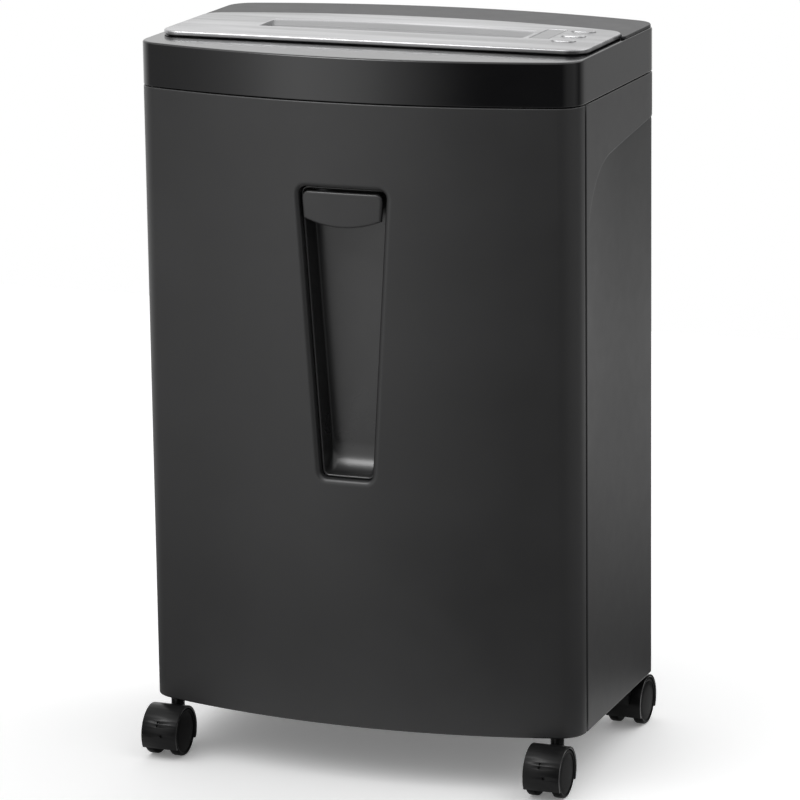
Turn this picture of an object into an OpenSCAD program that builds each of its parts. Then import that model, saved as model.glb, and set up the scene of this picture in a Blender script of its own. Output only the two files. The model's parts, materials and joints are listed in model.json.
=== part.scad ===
// Paper shredder on four twin-wheel casters, with a pull-out bin and a cross-cut head.
// +X is to the user's right, -Y faces the user, +Z is up.
// The origin is on the floor, under the middle of the whole.
// Inside the modules y counts back from the crown of the bowed front.

/* [Body] */
// Width across the side walls
body_w = 370; // [355:1:400]
// Depth from the crown of the front to the crown of the rear
body_d = 255; // [250:1:280]
// How far front and rear bulge past the side walls' ends
bow = 29.5; // [20:0.5:32]
// Corner radius in plan
corner_r = 22; // [16:1:26]
// Thickness of the moulded walls
wall = 2.6; // [2:0.1:3.2]
// Air under the body, from the floor to the skirt
floor_gap = 44; // [43:1:60]
// Height of the front panel and the cabinet's side walls
panel_h = 507; // [495:1:540]
// Height of the gloss band round the head
band_h = 35; // [33:1:45]
// Distance from the crown of the front to the upright seam
seam_y = 50; // [47:1:56]
// Width of the shadow gaps round the bin's front
seam_gap = 0.8; // [0.4:0.1:1.5]

/* [Side recess] */
// Where the shallow side recess starts, behind the crown of the front
recess_y = 54; // [53:1:80]
// Drop from the band to the recess's upper edge
recess_drop = 48; // [40:1:80]
// Radius of the recess's upper front corner
recess_r = 62; // [40:1:90]
// Slope of the recessed wall, in degrees
recess_angle = 1; // [0.5:0.1:1.2]
// Rise of the recess's upper edge towards the rear, in degrees
recess_rise = 6.4; // [3:0.1:8]

/* [Handle] */
// Drop from the front panel's top edge to the handle opening
handle_drop = 66; // [55:1:90]
// Height of the handle opening
handle_h = 238; // [200:1:250]
// Width of the opening at the top
handle_top_w = 78.6; // [70:0.2:90]
// Width of the opening at the bottom
handle_low_w = 48; // [40:1:60]
// Corner radius of the opening
handle_r = 8; // [5:1:12]
// Depth of the finger recess
handle_depth = 27; // [24:1:29]
// Wall of the finger recess
cup_wall = 1.8; // [1.6:0.1:2.6]
// Gap between the grip and the opening's edge
grip_gap = 5; // [3:0.5:6]
// Height of the grip in the middle
grip_h = 28; // [22:1:34]
// Radius of the grip's curved lower edge
grip_low_r = 85; // [70:1:120]
// Thickness of the grip
grip_t = 4; // [3:0.5:6]

/* [Top] */
// Distance from the crown of the front to the silver panel
plate_y = 59; // [55:1:64]
// Depth of the dark rear cover, from the silver panel's rear crown to the body's
cover_d = 68; // [60:1:71]
// Strip of band left beside the silver panel
plate_inset = 5.2; // [3:0.2:8]
// Thickness of the silver panel
plate_t = 4.4; // [3:0.2:6]
// Front corner radius of the silver panel
plate_r = 16; // [10:1:20]
// Rear corner radius of the silver panel
plate_rear_r = 18; // [12:1:24]
// Thickness of the dark rear cover
cover_t = 2.6; // [2:0.1:4]
// Width of the paper throat
throat_w = 225; // [222:1:228]
// Distance from the crown of the rear to the throat's front edge
throat_back = 149; // [145:1:151]
// Depth of the funnel's mouth, front to rear
mouth_d = 44; // [38:1:46]
// Width of the paper slit at the bottom of the funnel
slit = 5.5; // [4.5:0.5:7]

/* [Controls] */
// Length of a button
button_l = 20; // [16:0.5:22]
// Width of a button
button_w = 9; // [7:0.5:11]
// Travel of a button
button_travel = 0.8; // [0.5:0.1:0.9]
// Spacing of the three buttons
button_pitch = 24.3; // [20:0.1:26]
// Distance from the throat's end to the buttons' middles
button_side = 36.5; // [35.5:0.5:40]
// Width of the indicator window
window_w = 17; // [14:1:18]
// Length of the indicator window
window_l = 48; // [40:1:52]

/* [Bin] */
// Air between the body's sides and the bin's tub
tub_side = 17; // [15:0.5:35]
// Distance from the crown of the front to the tub
tub_y = 34; // [33:1:36]
// Air between the tub and the crown of the rear
tub_back = 33; // [31:1:50]
// Air between the tub's rim and the head tray
tub_air = 14; // [12:1:60]
// Wall of the tub
tub_wall = 2; // [1.6:0.1:3]
// Corner radius of the tub
tub_r = 15; // [8:1:20]

/* [Casters] */
// Radius of a wheel
wheel_r = 19.5; // [17:0.5:19.5]
// Width of one wheel of the pair
wheel_w = 8; // [6:0.5:9]
// Distance between the middles of the two wheels
wheel_pitch = 21.5; // [20:0.5:24]
// Distance from the swivel axis to the axle
trail = 19; // [17:0.5:20]
// Radius of the swivel stem
stem_r = 4; // [3:0.5:4]
// Distance of the stems from the body's sides
stem_side = 20; // [19:1:40]
// Distance from the crown of the front to the front stems
stem_front = 33; // [33:1:45]
// Distance from the crown of the rear to the rear stems
stem_back = 56; // [50:1:70]
// Radius of a caster's axle
axle_r = 2.5; // [2:0.5:3]

/* [Cutters] */
// Drop from the band to the cutters' axes
cutter_drop = 44; // [40:1:46]
// Radius of a cutting disc
disc_r = 21; // [20.5:0.1:21.4]
// Radius of the core between discs
core_r = 17; // [15:0.5:17]
// Thickness of a cutting disc
disc_t = 3.8; // [3:0.1:3.8]
// Pitch of the discs along a cutter
disc_pitch = 8; // [8:0.5:10]
// Radius of the cutters' journals
journal_r = 7; // [6:0.5:8]
// Thickness of the steel side plates
plate_steel = 3; // [2.5:0.5:3]

/* [Gears] */
// Module of the two cutter gears
m_cutter = 1.5; // [1.5:0.1:1.5]
// Teeth on each cutter gear
n_cutter = 26; // [26:1:26]
// Module of the last reduction
m_drive = 1.25; // [1.25:0.05:1.25]
// Teeth on the drive gear
n_drive = 60; // [58:1:60]
// Teeth on the second stage's pinion
n_second = 14; // [14:1:16]
// Module of the middle reduction
m_mid = 1; // [1:0.1:1]
// Teeth on the middle reduction's large gear
n_mid = 48; // [44:1:48]
// Teeth on the first stage's pinion
n_first = 12; // [12:1:14]
// Module of the motor's reduction
m_motor = 0.8; // [0.8:0.1:0.8]
// Teeth on the first stage's large gear
n_big = 48; // [44:1:50]
// Teeth on the motor pinion
n_pinion = 12; // [12:1:14]
// Radius of the two gear axles
spindle_r = 3; // [2.5:0.5:3]
// Radius of the motor
motor_r = 28; // [24:1:28]
// Length of the motor
motor_l = 92; // [80:1:110]

/* [Hidden] */

$fn = 64;
// Small overshoot that keeps a cut's end clear of the face that it opens
cut = 1;
// Running clearance of a shaft in its bore, and of a moving piece beside a fixed one
run = 0.05;
clear = 0.3;

// Heights of the body
z_band = floor_gap + panel_h;
z_deck = z_band + band_h;
z_plate = z_deck + plate_t;
panel_top = z_band - seam_gap;

// Plan outline: two shallow arcs joined by corner arcs and straight sides
bow_rad = (body_w * body_w / 4 + bow * bow) / (2 * bow);
corner_x = body_w / 2 - corner_r;
corner_y = bow_rad - sqrt(pow(bow_rad - corner_r, 2) - corner_x * corner_x);
turn = asin(corner_x / (bow_rad - corner_r));

// Places that follow the body's sides, front and rear
throat_y = body_d - throat_back;
plate_end = body_d - cover_d;
cutter_z = z_band - cutter_drop;
stem_x = body_w / 2 - stem_side;
stem_rear = body_d - stem_back;

// The whole is centred between the front casters' fenders and the rear crown
hood_gap = 0.5;
hood_t = 2;
hood_front = stem_front - trail - wheel_r - hood_gap - hood_t;
y_mid = (body_d + min(0, hood_front)) / 2;

// Base plate and runners
base_z = floor_gap + 2;
base_deck = base_z + 8;
base_t = 3;
base_top = base_deck + base_t;
runner_h = 3;
tub_z = base_top + runner_h;
tub_rim = 4;
tub_end = body_d - tub_back;
tub_w = body_w - 2 * tub_side;

// Head tray: a shallow deck and a deep well that holds the cutting unit
tray_t = 3;
well_wall = 2;
well_front = tub_y + well_wall;
well_depth = 45;
well_z = cutter_z - well_depth;
well_floor = well_z + tray_t;
drop_x = throat_w / 2 + 1;
tub_top = well_z - tub_air;
tub_h = tub_top - tub_z;

// Cutting unit
slit_y = throat_y + 2;
paper_y = slit_y + slit / 2;
half_span = m_cutter * n_cutter / 2;
front_axis = [paper_y - half_span, cutter_z];
rear_axis = [paper_y + half_span, cutter_z];
core_x = throat_w / 2 + 0.5;
side_in = core_x + 5;
side_out = side_in + plate_steel;
disc_count = floor((2 * core_x - disc_t) / disc_pitch / 2) * 2;
hooks = 5;

// Gear train: angles of the lines of centres, from +Y towards +Z
second_angle = 20;
first_angle = -60;
motor_angle = 88;
second_axis = step_from(rear_axis, m_drive * (n_drive + n_second) / 2, second_angle);
first_axis = step_from(second_axis, m_mid * (n_mid + n_first) / 2, first_angle);
motor_axis = step_from(first_axis, m_motor * (n_big + n_pinion) / 2, motor_angle);
gear_w = 7;
gear_air = 0.7;
plane_one = -side_out - gear_air;
plane_two = plane_one - gear_w - gear_air;
plane_three = plane_two - gear_w - gear_air;
drive_w = 10;
gearbox_x = plane_three - drive_w - 1.5;
gearbox_t = 2.5;
head_l = 2.4;
motor_shaft_r = 2.5;
armature_r = 17;
magnet_in = 18.5;
shell_t = 2;

// Ends of the side plates, and the well round them
plate_front = front_axis.x - 27;
plate_rear = motor_axis.x + motor_r + 3;
well_end = plate_rear + 3.4 + well_wall;
well_x = gearbox_t - gearbox_x + head_l + 1.5 + well_wall;

// Tie rods, posts and screws
rod_r = 4;
screw_r = 2;
rods = [[front_axis.x - 19.5, cutter_z - 29], [front_axis.x - 19.5, cutter_z + 27],
        [rear_axis.x + 23.5, cutter_z - 29], [rear_axis.x + 25, cutter_z + 29]];
posts = [[rear_axis.x + 39.5, cutter_z - 33], [motor_axis.x + 15.2, motor_axis.y + 7.2],
         [front_axis.x - 5.5, cutter_z - 32], [front_axis.x - 5.5, cutter_z + 34]];

// Controls
button_x = throat_w / 2 + button_side;
buttons_y = throat_y + 18.5;
window_x = button_x - button_l / 2 - 4.7 - window_w / 2;
window_y = throat_y + 24;
button_rise = 1.2;
board_z = z_deck - 15;
board_t = 1.6;
button_low = z_deck - wall - 2.9;
board_x0 = throat_w / 2 + 4.5;
board_x1 = button_x + 9;
board_y0 = buttons_y - 40;
board_y1 = buttons_y + 40;

// Interlock, on the well's front wall and right of the side plate
lock_x = side_out + 19;
lock_z = z_band - 17;

// Handle, from the opening's outline
handle_top = panel_top - handle_drop;
handle_low = handle_top - handle_h;
handle_tilt = atan((handle_top_w - handle_low_w) / 2 / handle_h);
grip_top = handle_top - grip_gap;
grip_low = grip_top - grip_h;
shelf_t = 2.2;
boss_r = 5;
boss_x = tub_w / 2 - 28;
panel_bosses = [for (x = [-boss_x, -boss_x / 2, boss_x / 2, boss_x], z = [tub_z + 35, tub_top - 27]) [x, z]];

// Casters
hood_r = wheel_r + hood_gap + hood_t;
hood_top = wheel_r + hood_r;
side_air = 0.4;
web_x = (wheel_pitch - wheel_w) / 2 - side_air;
hood_x = (wheel_pitch + wheel_w) / 2 + side_air;
axle_end = (wheel_pitch + wheel_w) / 2 - 2;
stem_low = wheel_r + 6;
hood_skirt = 10;
neck_r = stem_r + 1.5;
washer_r = stem_r + 2;
washer_t = 1;
// Moulded dimples on the hood's nose: angle up from level, place across, radius
dimples = [[33, 1.5, 1.1], [25, 1.5, 1.3], [4, -2.5, 1.4]];

// Cord gland in the head's rear wall
gland_x = 60;
gland_z = z_band + 17;
gland_w = 14;
gland_bore = 3.6;

function arc(c, r, a0, a1, n, last = 1) =
    [for (i = [0:n - 1 + last]) let (a = a0 + (a1 - a0) * i / n) [c.x + r * cos(a), c.y + r * sin(a)]];
function step_from(p, d, a) = [p.x + d * cos(a), p.y + d * sin(a)];

// Plan outline of the body, moved inwards by t
function outline(t) = concat(
    arc([0, bow_rad], bow_rad - t, 270 - turn, 270 + turn, 24, 0),
    arc([corner_x, corner_y], corner_r - t, 270 + turn, 360, 8),
    arc([corner_x, body_d - corner_y], corner_r - t, 0, 90 - turn, 8, 0),
    arc([0, body_d - bow_rad], bow_rad - t, 90 - turn, 90 + turn, 24, 0),
    arc([-corner_x, body_d - corner_y], corner_r - t, 90 + turn, 180, 8),
    arc([-corner_x, corner_y], corner_r - t, 180, 270 - turn, 8, 0));
// Distance from the crown of the front to the bowed face at x
function bow_at(x) = bow_rad - sqrt(bow_rad * bow_rad - x * x);

// Plan outline of the silver panel, moved inwards by t
function plate_outline(t) =
    let (w = body_w / 2 - plate_inset, rx = w - plate_rear_r,
         arc_y = plate_end - bow_rad,
         ry = arc_y + sqrt(pow(bow_rad - plate_rear_r, 2) - rx * rx),
         a = asin(rx / (bow_rad - plate_rear_r)),
         fx = w - plate_r, fy = plate_y + plate_r)
    concat(arc([fx, fy], plate_r - t, 270, 360, 8),
           arc([rx, ry], plate_rear_r - t, 0, 90 - a, 8, 0),
           arc([0, arc_y], bow_rad - t, 90 - a, 90 + a, 24, 0),
           arc([-rx, ry], plate_rear_r - t, 90 + a, 180, 8),
           arc([-fx, fy], plate_r - t, 180, 270, 8));

// Outline of the handle opening in x and z, moved outwards by g
function handle_outline(g) =
    let (r = handle_r + g, a = handle_tilt,
         zt = handle_top + g - r, zl = handle_low - g + r,
         xt = handle_top_w / 2 - handle_r * tan(a) - handle_r / cos(a),
         xl = handle_low_w / 2 + handle_r * tan(a) - handle_r / cos(a))
    concat(arc([xt, zt], r, -a, 90, 6), arc([-xt, zt], r, 90, 180 + a, 6),
           arc([-xl, zl], r, 180 + a, 270, 6), arc([xl, zl], r, 270, 360 - a, 6));

// Rectangle with round corners, and a pill
function round_rect(x0, x1, y0, y1, r) = concat(
    arc([x1 - r, y0 + r], r, 270, 360, 6), arc([x1 - r, y1 - r], r, 0, 90, 6),
    arc([x0 + r, y1 - r], r, 90, 180, 6), arc([x0 + r, y0 + r], r, 180, 270, 6));
function pill(l, w) = concat(arc([l / 2 - w / 2, 0], w / 2, -90, 90, 12),
                             arc([w / 2 - l / 2, 0], w / 2, 90, 270, 12));

// Involute gear with short teeth: half the tooth's angle at radius r, then its outline
function roll(rb, r) = let (a = acos(min(1, rb / r))) tan(a) * 180 / PI - a;
function half_tooth(m, n, r) =
    let (rp = m * n / 2, rb = rp * cos(20))
    90 / n - 0.07 * m / rp * 180 / PI + roll(rb, rp) - roll(rb, max(r, rb));
function gear(m, n) =
    let (root = m * (n / 2 - 1.1), tip = m * (n / 2 + 0.8), k = 4)
    [for (i = [0:n - 1], s = [-1, 1], j = [0:k])
        let (q = s < 0 ? j : k - j, r = root + (tip - root) * q / k,
             a = 360 * i / n + s * half_tooth(m, n, r))
        [r * cos(a), r * sin(a)]];

// Hooked cutting disc
function disc() = [for (i = [0:hooks - 1], p = [[0, 0], [14, -1.2], [30, -0.5], [50, 0], [66, 0]])
    let (a = 360 * (i + p.x / 72) / hooks) [(disc_r + p.y) * cos(a), (disc_r + p.y) * sin(a)]];

module slab(x0, x1, y0, y1, z0, z1) translate([x0, y0, z0]) cube([x1 - x0, y1 - y0, z1 - z0]);
module block(t, z0, z1) translate([0, 0, z0]) linear_extrude(z1 - z0) polygon(outline(t));
module along_x(x0, x1) translate([x0, 0, 0]) rotate([90, 0, 90]) linear_extrude(x1 - x0) children();
module along_y(y0, y1) translate([0, y1, 0]) rotate([90, 0, 0]) linear_extrude(y1 - y0) children();
module at_axis(p) translate([0, p.x, p.y]) children();
module rod_x(p, r, x0, x1) at_axis(p) translate([x0, 0, 0]) rotate([0, 90, 0]) cylinder(r = r, h = x1 - x0);
module rod_y(x, z, r, y0, y1) translate([x, y0, z]) rotate([-90, 0, 0]) cylinder(r = r, h = y1 - y0);
module both_sides() {
    children();
    mirror([1, 0, 0]) children();
}
module in_front(y) intersection() {
    children();
    slab(-body_w, body_w, -body_d, y, -body_d, 3 * panel_h);
}
module behind(y) intersection() {
    children();
    slab(-body_w, body_w, y, 2 * body_d, -body_d, 3 * panel_h);
}

// Space outside the recessed side walls, moved inwards by t and grown by g at its edge
module side_recess(t, g) {
    end_a = 90 + recess_rise;
    r = recess_r + g;
    centre = [recess_r, z_band - recess_drop - recess_r];
    crest = [centre.x + r * cos(end_a), centre.y + r * sin(end_a)];
    far = 2 * body_d;
    both_sides() translate([body_w / 2 - t, recess_y, 0]) rotate([0, 0, recess_angle])
        along_x(0, 4 * wall) polygon(concat(
            [[-g, floor_gap - cut], [far, floor_gap - cut],
             [far, crest.y + (far - crest.x) * tan(recess_rise)]],
            arc(centre, r, end_a, 180, 12)));
}
// Room inside the cabinet
module cabinet_room(z0, z1) difference() {
    block(wall, z0, z1);
    side_recess(wall, wall);
}
// Upright inner flanges beside the bin's opening
module jambs() both_sides()
    slab(body_w / 2 - wall - 8, body_w / 2 - wall / 2, seam_y, seam_y + wall, floor_gap, z_band);

module cabinet_shell() color("#3b3b3d") difference() {
    union() {
        difference() {
            behind(seam_y) block(0, floor_gap, z_band);
            cabinet_room(floor_gap - cut, z_band + cut);
        }
        jambs();
    }
    side_recess(0, 0);
    for (x = [-vent_x:vent_pitch:vent_x])
        slab(x - vent_w / 2, x + vent_w / 2, body_d - bow, body_d + cut,
             z_band - vent_drop - vent_l, z_band - vent_drop);
}
// Upright vent slots in the rear wall
vent_x = 66;
vent_pitch = 12;
vent_w = 4;
vent_l = 44;
vent_drop = 18;

// Footprint of the base plate: inside the walls behind the seam, inside the skirt before it
module base_zone(z0, z1) difference() {
    union() {
        behind(seam_y) cabinet_room(z0, z1);
        in_front(seam_y) block(wall + seam_gap, z0, z1);
    }
    jambs();
}
module stems() for (x = [-stem_x, stem_x], y = [stem_front, stem_rear]) translate([x, y, 0]) children();
rib_t = 2;
module base_plate() color("#2b2b2d") difference() {
    union() {
        difference() {
            base_zone(base_z, base_top);
            block(wall + 4.6, base_z - cut, base_deck);
        }
        intersection() {
            base_zone(base_z, base_top);
            union() {
                stems() translate([0, 0, base_z]) cylinder(r = stem_r + 6, h = base_top - base_z);
                for (x = [-120:60:120])
                    slab(x - rib_t / 2, x + rib_t / 2, 0, body_d, base_z + 2, base_top);
                for (y = [70:50:220])
                    slab(-body_w, body_w, y - rib_t / 2, y + rib_t / 2, base_z + 2, base_top);
            }
        }
    }
    stems() translate([0, 0, base_z - cut]) cylinder(r = stem_r, h = 30);
}

// Two flat runners under the tub, a guide beside it on each side, and a stop behind it
runner_w = 10;
guide_t = 2;
guide_h = 16;
stop_w = 120;
module bin_runners() color("#8d8f92") {
    both_sides() {
        slab(tub_w / 2 - 4 * runner_w, tub_w / 2 - 3 * runner_w, seam_y + 10, tub_end - 10,
             base_top, tub_z - clear);
        slab(tub_w / 2 + 1, tub_w / 2 + 1 + guide_t, seam_y + 10, tub_end - 10, base_top, tub_z + guide_h);
    }
    slab(-stop_w / 2, stop_w / 2, tub_end + 0.5, tub_end + 3, base_top, tub_z + guide_h);
}

module caster_stems() color("#b9bcc0") stems() {
    translate([0, 0, stem_low]) cylinder(r = stem_r, h = base_top - stem_low);
    translate([0, 0, base_z - washer_t]) cylinder(r = washer_r, h = washer_t);
}

module head_band() color("#151517") difference() {
    union() {
        difference() {
            block(0, z_band, z_deck);
            block(wall, z_band - cut, z_deck - wall);
        }
        for (x = [board_x0 + 3, board_x1 - 3], y = [board_y0 + 3, board_y1 - 3])
            translate([x, y, board_z + board_t]) cylinder(r = 3, h = z_deck - wall - board_z - board_t + 0.5);
        head_bosses(3.5, z_band + tray_t);
    }
    slab(-throat_w / 2 - 2, throat_w / 2 + 2, throat_y - 6, throat_y + mouth_d + 6, z_band, z_deck + cut);
    control_holes();
    slab(gland_x - gland_w / 2, gland_x + gland_w / 2, body_d - bow, body_d + cut,
         gland_z - gland_w / 2, gland_z + gland_w / 2);
    translate([0, 0, -cut]) head_bosses(screw_r * 0.8, z_band + tray_t, 12);
}
side_spot = (well_x + body_w / 2 - wall) / 2;
head_spots = [for (s = [-1, 1], p = [[well_x - 12, well_front - 6.5], [60, 25], [side_spot, well_end - 36],
                                     [gland_x - 20, well_end + 8]]) [s * p.x, p.y]];
module head_bosses(r, z, h = 0) for (p = head_spots) translate([p.x, p.y, z])
    cylinder(r = r, h = h > 0 ? h : z_deck - wall + 0.5 - z);
module control_holes() {
    for (i = [-1:1]) translate([button_x, buttons_y + i * button_pitch, z_band])
        linear_extrude(2 * band_h) polygon(pill(button_l + 2 * clear, button_w + 2 * clear));
    slab(window_x - window_w / 2 + 1.5, window_x + window_w / 2 - 1.5,
         window_y - window_l / 2 + 1.5, window_y + window_l / 2 - 1.5, z_band, z_plate + cut);
}

module head_tray() color("#232325") difference() {
    union() {
        block(wall, z_band, z_band + tray_t);
        slab(-well_x, well_x, well_front, well_end, well_z, z_band + tray_t);
        for (p = board_posts) translate([p.x, p.y, well_z]) cylinder(r = 3, h = board_low - well_z);
    }
    difference() {
        slab(-well_x + well_wall, well_x - well_wall, well_front + well_wall, well_end - well_wall,
             well_floor, z_band + 2 * tray_t);
        for (p = board_posts) translate([p.x, p.y, well_z]) cylinder(r = 3, h = board_low - well_z);
    }
    slab(-drop_x, drop_x, front_axis.x - 14, rear_axis.x + 14, well_z - cut, well_floor + cut);
    rod_y(lock_x, lock_z, 2, well_front - cut, well_front + well_wall + cut);
    for (p = head_spots) translate([p.x, p.y, z_band - cut]) cylinder(r = screw_r, h = 10);
}
board_low = well_floor + 5;
// Main board on its posts, between the right side plate and the well's wall
main_x0 = side_out + 4.5;
main_x1 = well_x - well_wall - 1.5;
main_y0 = plate_front - 4;
main_y1 = plate_rear - 18;
board_posts = [for (x = [main_x0 + 4, main_x1 - 4], y = [main_y0 + 4, main_y1 - 4]) [x, y]];

module rear_top_cover() color("#4a4a4c") difference() {
    block(1.2, z_deck, z_deck + cover_t);
    translate([0, 0, z_deck - cut]) linear_extrude(2 * plate_t) polygon(plate_outline(-seam_gap));
    slab(-body_w, body_w, -body_d, plate_end - 40, z_deck - cut, z_plate + cut);
}

module silver_panel() color("#c9cbcd") difference() {
    translate([0, 0, z_deck]) linear_extrude(plate_t) polygon(plate_outline(0));
    difference() {
        translate([0, 0, z_deck - cut]) linear_extrude(cut + 1) polygon(plate_outline(-cut));
        translate([0, 0, z_deck - 2 * cut]) linear_extrude(4) polygon(plate_outline(3));
    }
    funnel(z_deck - cut, z_plate + cut);
    control_holes();
    window_block(0, z_deck);
}
// Funnel: upright ends and front, and behind a shallow cone that follows the mouth's bowed edge
mouth_bow = 8;
mouth_rad = (pow(throat_w / 2, 2) + mouth_bow * mouth_bow) / (2 * mouth_bow);
funnel_run = mouth_d - slit - 2;
funnel_drop = 20;
module funnel(z0, z1) intersection() {
    slab(-throat_w / 2, throat_w / 2, throat_y, body_d, z0, z1);
    translate([0, throat_y + mouth_d - mouth_rad, z_plate - funnel_drop])
        cylinder(r1 = mouth_rad - funnel_run, r2 = mouth_rad + funnel_run, h = 2 * funnel_drop, $fn = 480);
}
module window_block(t, z) slab(window_x - window_w / 2 + t, window_x + window_w / 2 - t,
    window_y - window_l / 2 + t, window_y + window_l / 2 - t, z, z_plate + cut);

// The funnel's lower part under the deck, with the paper slit at its bottom
guide_low = cutter_z + disc_r + 4;
guide_side = throat_w / 2 + 2;
guide_back = throat_y + mouth_d + 4;
guide_deep = 30;
slit_wall = 2;
funnel_low = z_plate - funnel_drop;
sensor_x = 20;
sensor_w = 8;
module throat_guide() color("#b4b6b8") difference() {
    union() {
        slab(-guide_side, guide_side, throat_y - 4, guide_back, z_deck - guide_deep, z_deck);
        slab(-guide_side, guide_side, slit_y - slit_wall, slit_y + slit + slit_wall,
             guide_low, z_deck - guide_deep + cut);
    }
    funnel(funnel_low, z_deck + cut);
    slab(-throat_w / 2, throat_w / 2, slit_y, slit_y + slit, guide_low - cut, z_deck - 8);
    along_x(-throat_w / 2, throat_w / 2) polygon([
        [throat_y, funnel_low + cut], [throat_y, funnel_low],
        [slit_y, funnel_low - 6], [slit_y + slit, funnel_low + cut]]);
    along_x(-throat_w, throat_w) polygon([
        [slit_y + slit + slit_wall, z_deck - guide_deep - cut], [guide_back + cut, z_deck - guide_deep - cut],
        [guide_back + cut, z_deck - 5], [slit_y + slit + slit_wall, funnel_low - 3]]);
    for (x = [-1, 1]) slab(x * sensor_x - sensor_w / 2, x * sensor_x + sensor_w / 2,
                           slit_y - 3, slit_y + slit + 3, guide_low + 6, guide_low + 6 + sensor_w);
}

module indicator_window() color("#5f6468") window_plate();
module window_plate() difference() {
    window_block(0.1, z_deck);
    slab(-body_w, body_w, 0, body_d, z_plate - 0.2, z_plate + 2 * cut);
}

module control_board() color("#2f6b3a") {
    slab(board_x0, board_x1, board_y0, board_y1, board_z, board_z + board_t);
    for (i = [-1:1]) translate([button_x, buttons_y + i * button_pitch, board_z + board_t]) {
        slab(-3, 3, -3, 3, 0, 3.5);
        cylinder(r = 1.7, h = button_low - button_travel - 0.1 - board_z - board_t);
    }
    for (i = [-1.5:1:1.5]) translate([window_x, window_y + i * 11, board_z + board_t])
        cylinder(r = 1.5, h = 9);
}

// The transformer, the relay and the connector stand in a row on it: place along the board,
// half width, half length and height. Two capacitors stand between the relay and the connector.
board_blocks = [[27, 11, 15, 24], [60, 9, 8, 15], [118, 7, 8, 10]];
module main_board() color("#2f6b3a") {
    mid = (main_x0 + main_x1) / 2;
    top = board_low + board_t;
    difference() {
        slab(main_x0, main_x1, main_y0, main_y1, board_low, top);
        for (p = board_posts) translate([p.x, p.y, board_low - cut]) cylinder(r = 1.5, h = 5);
    }
    for (b = board_blocks) translate([mid, main_y0 + b[0], top]) slab(-b[1], b[1], -b[2], b[2], 0, b[3]);
    for (y = [82, 98]) translate([mid, main_y0 + y, top]) cylinder(r = 6, h = 20);
}

// Outline of a side plate in y and z, from the well's floor up
module plate_face(y0, y1) difference() {
    polygon(round_rect(y0, y1, well_floor, z_band - 3, 6));
    for (p = [front_axis, rear_axis]) translate(p) circle(r = journal_r + 3);
    for (p = rods) translate(p) circle(r = screw_r);
}
module side_plate_left() color("#9a9da1") along_x(-side_out, -side_in) difference() {
    plate_face(plate_front, plate_rear);
    for (p = [first_axis, second_axis]) translate(p) circle(r = spindle_r);
    translate(motor_axis) circle(r = motor_shaft_r + 5);
    for (p = motor_screws) translate(p) circle(r = screw_r);
    for (p = posts) translate(p) circle(r = screw_r);
}
module side_plate_right() color("#9a9da1") along_x(side_in, side_out)
    plate_face(plate_front, rear_axis.x + 34);
motor_screws = [for (a = [0, 125]) step_from(motor_axis, 20, a)];

module tie_rods() color("#b9bcc0") for (p = rods) difference() {
    rod_x(p, rod_r, -side_in, side_in);
    for (s = [-1, 1]) rod_x(p, screw_r, s * (side_in - 5) - 6, s * (side_in - 5) + 6);
}

module cutter_bushes() color("#b08d57") for (p = [front_axis, rear_axis]) both_sides() difference() {
    union() {
        rod_x(p, journal_r + 3, side_in - 1, side_out);
        rod_x(p, journal_r + 5, core_x + clear, side_in);
    }
    rod_x(p, journal_r + run, core_x, side_out + cut);
}

// Fingers that lift the shreds out of the gaps between discs
comb_t = disc_pitch - disc_t - 1;
module comb(axis, side) {
    reach = core_r + 0.6;
    bar = axis.x + side * (disc_r + 3);
    along_x(-side_in, side_in) translate([bar, axis.y - 22])
        polygon([[0, 0], [side * 2, 0], [side * 2, 14], [0, 14]]);
    for (i = [0:disc_count - 1]) {
        x = gap_x(i, side);
        along_x(x - comb_t / 2, x + comb_t / 2) difference() {
            polygon([[bar + side * 0.5, axis.y - 22], [bar + side * 0.5, axis.y - 10],
                     [axis.x + side * 10, axis.y - 6], [axis.x + side * 6, axis.y - 22]]);
            translate(axis) circle(r = reach);
        }
    }
}
module stripper_combs() color("#2b2b2d") {
    comb(front_axis, -1);
    comb(rear_axis, 1);
}

// Discs of the two cutters alternate along the axis
function disc_x(i, side) = (i - (disc_count - 1) / 2) * disc_pitch + side * disc_pitch / 4;
function gap_x(i, side) = disc_x(i, side) - side * disc_pitch / 2;
module cutter(axis, side, far) {
    at_axis(axis) for (i = [0:disc_count - 1])
        translate([disc_x(i, side), 0, 0]) rotate([i * 13 * side, 0, 0])
            along_x(-disc_t / 2, disc_t / 2) polygon(disc());
    rod_x(axis, core_r, -core_x, core_x);
    rod_x(axis, journal_r, far, side_out + 3);
}
module front_cutter() color("#a5a8ac") cutter(front_axis, -1, plane_one - gear_w);
module rear_cutter() color("#a5a8ac") cutter(rear_axis, 1, gearbox_x - gearbox_t);

// One gear between two planes, with a tooth at angle a and a bore
module spur(axis, m, n, a, x0, x1, bore) difference() {
    at_axis(axis) rotate([a, 0, 0]) along_x(x0, x1) polygon(gear(m, n));
    rod_x(axis, bore, x0 - cut, x1 + cut);
}
module hub(axis, r, x0, x1, bore) difference() {
    rod_x(axis, r, x0, x1);
    rod_x(axis, bore, x0 - cut, x1 + cut);
}
module front_cutter_gear() color("#8f9296")
    spur(front_axis, m_cutter, n_cutter, 0, plane_one - gear_w, plane_one, journal_r);
module rear_cutter_gear() color("#8f9296")
    spur(rear_axis, m_cutter, n_cutter, 180 + 180 / n_cutter, plane_one - gear_w, plane_one, journal_r);
module drive_gear() color("#8f9296") {
    spur(rear_axis, m_drive, n_drive, second_angle, plane_three - drive_w, plane_three, journal_r);
    hub(rear_axis, journal_r + 4, plane_three - cut, plane_one - gear_w - clear, journal_r);
}
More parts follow.
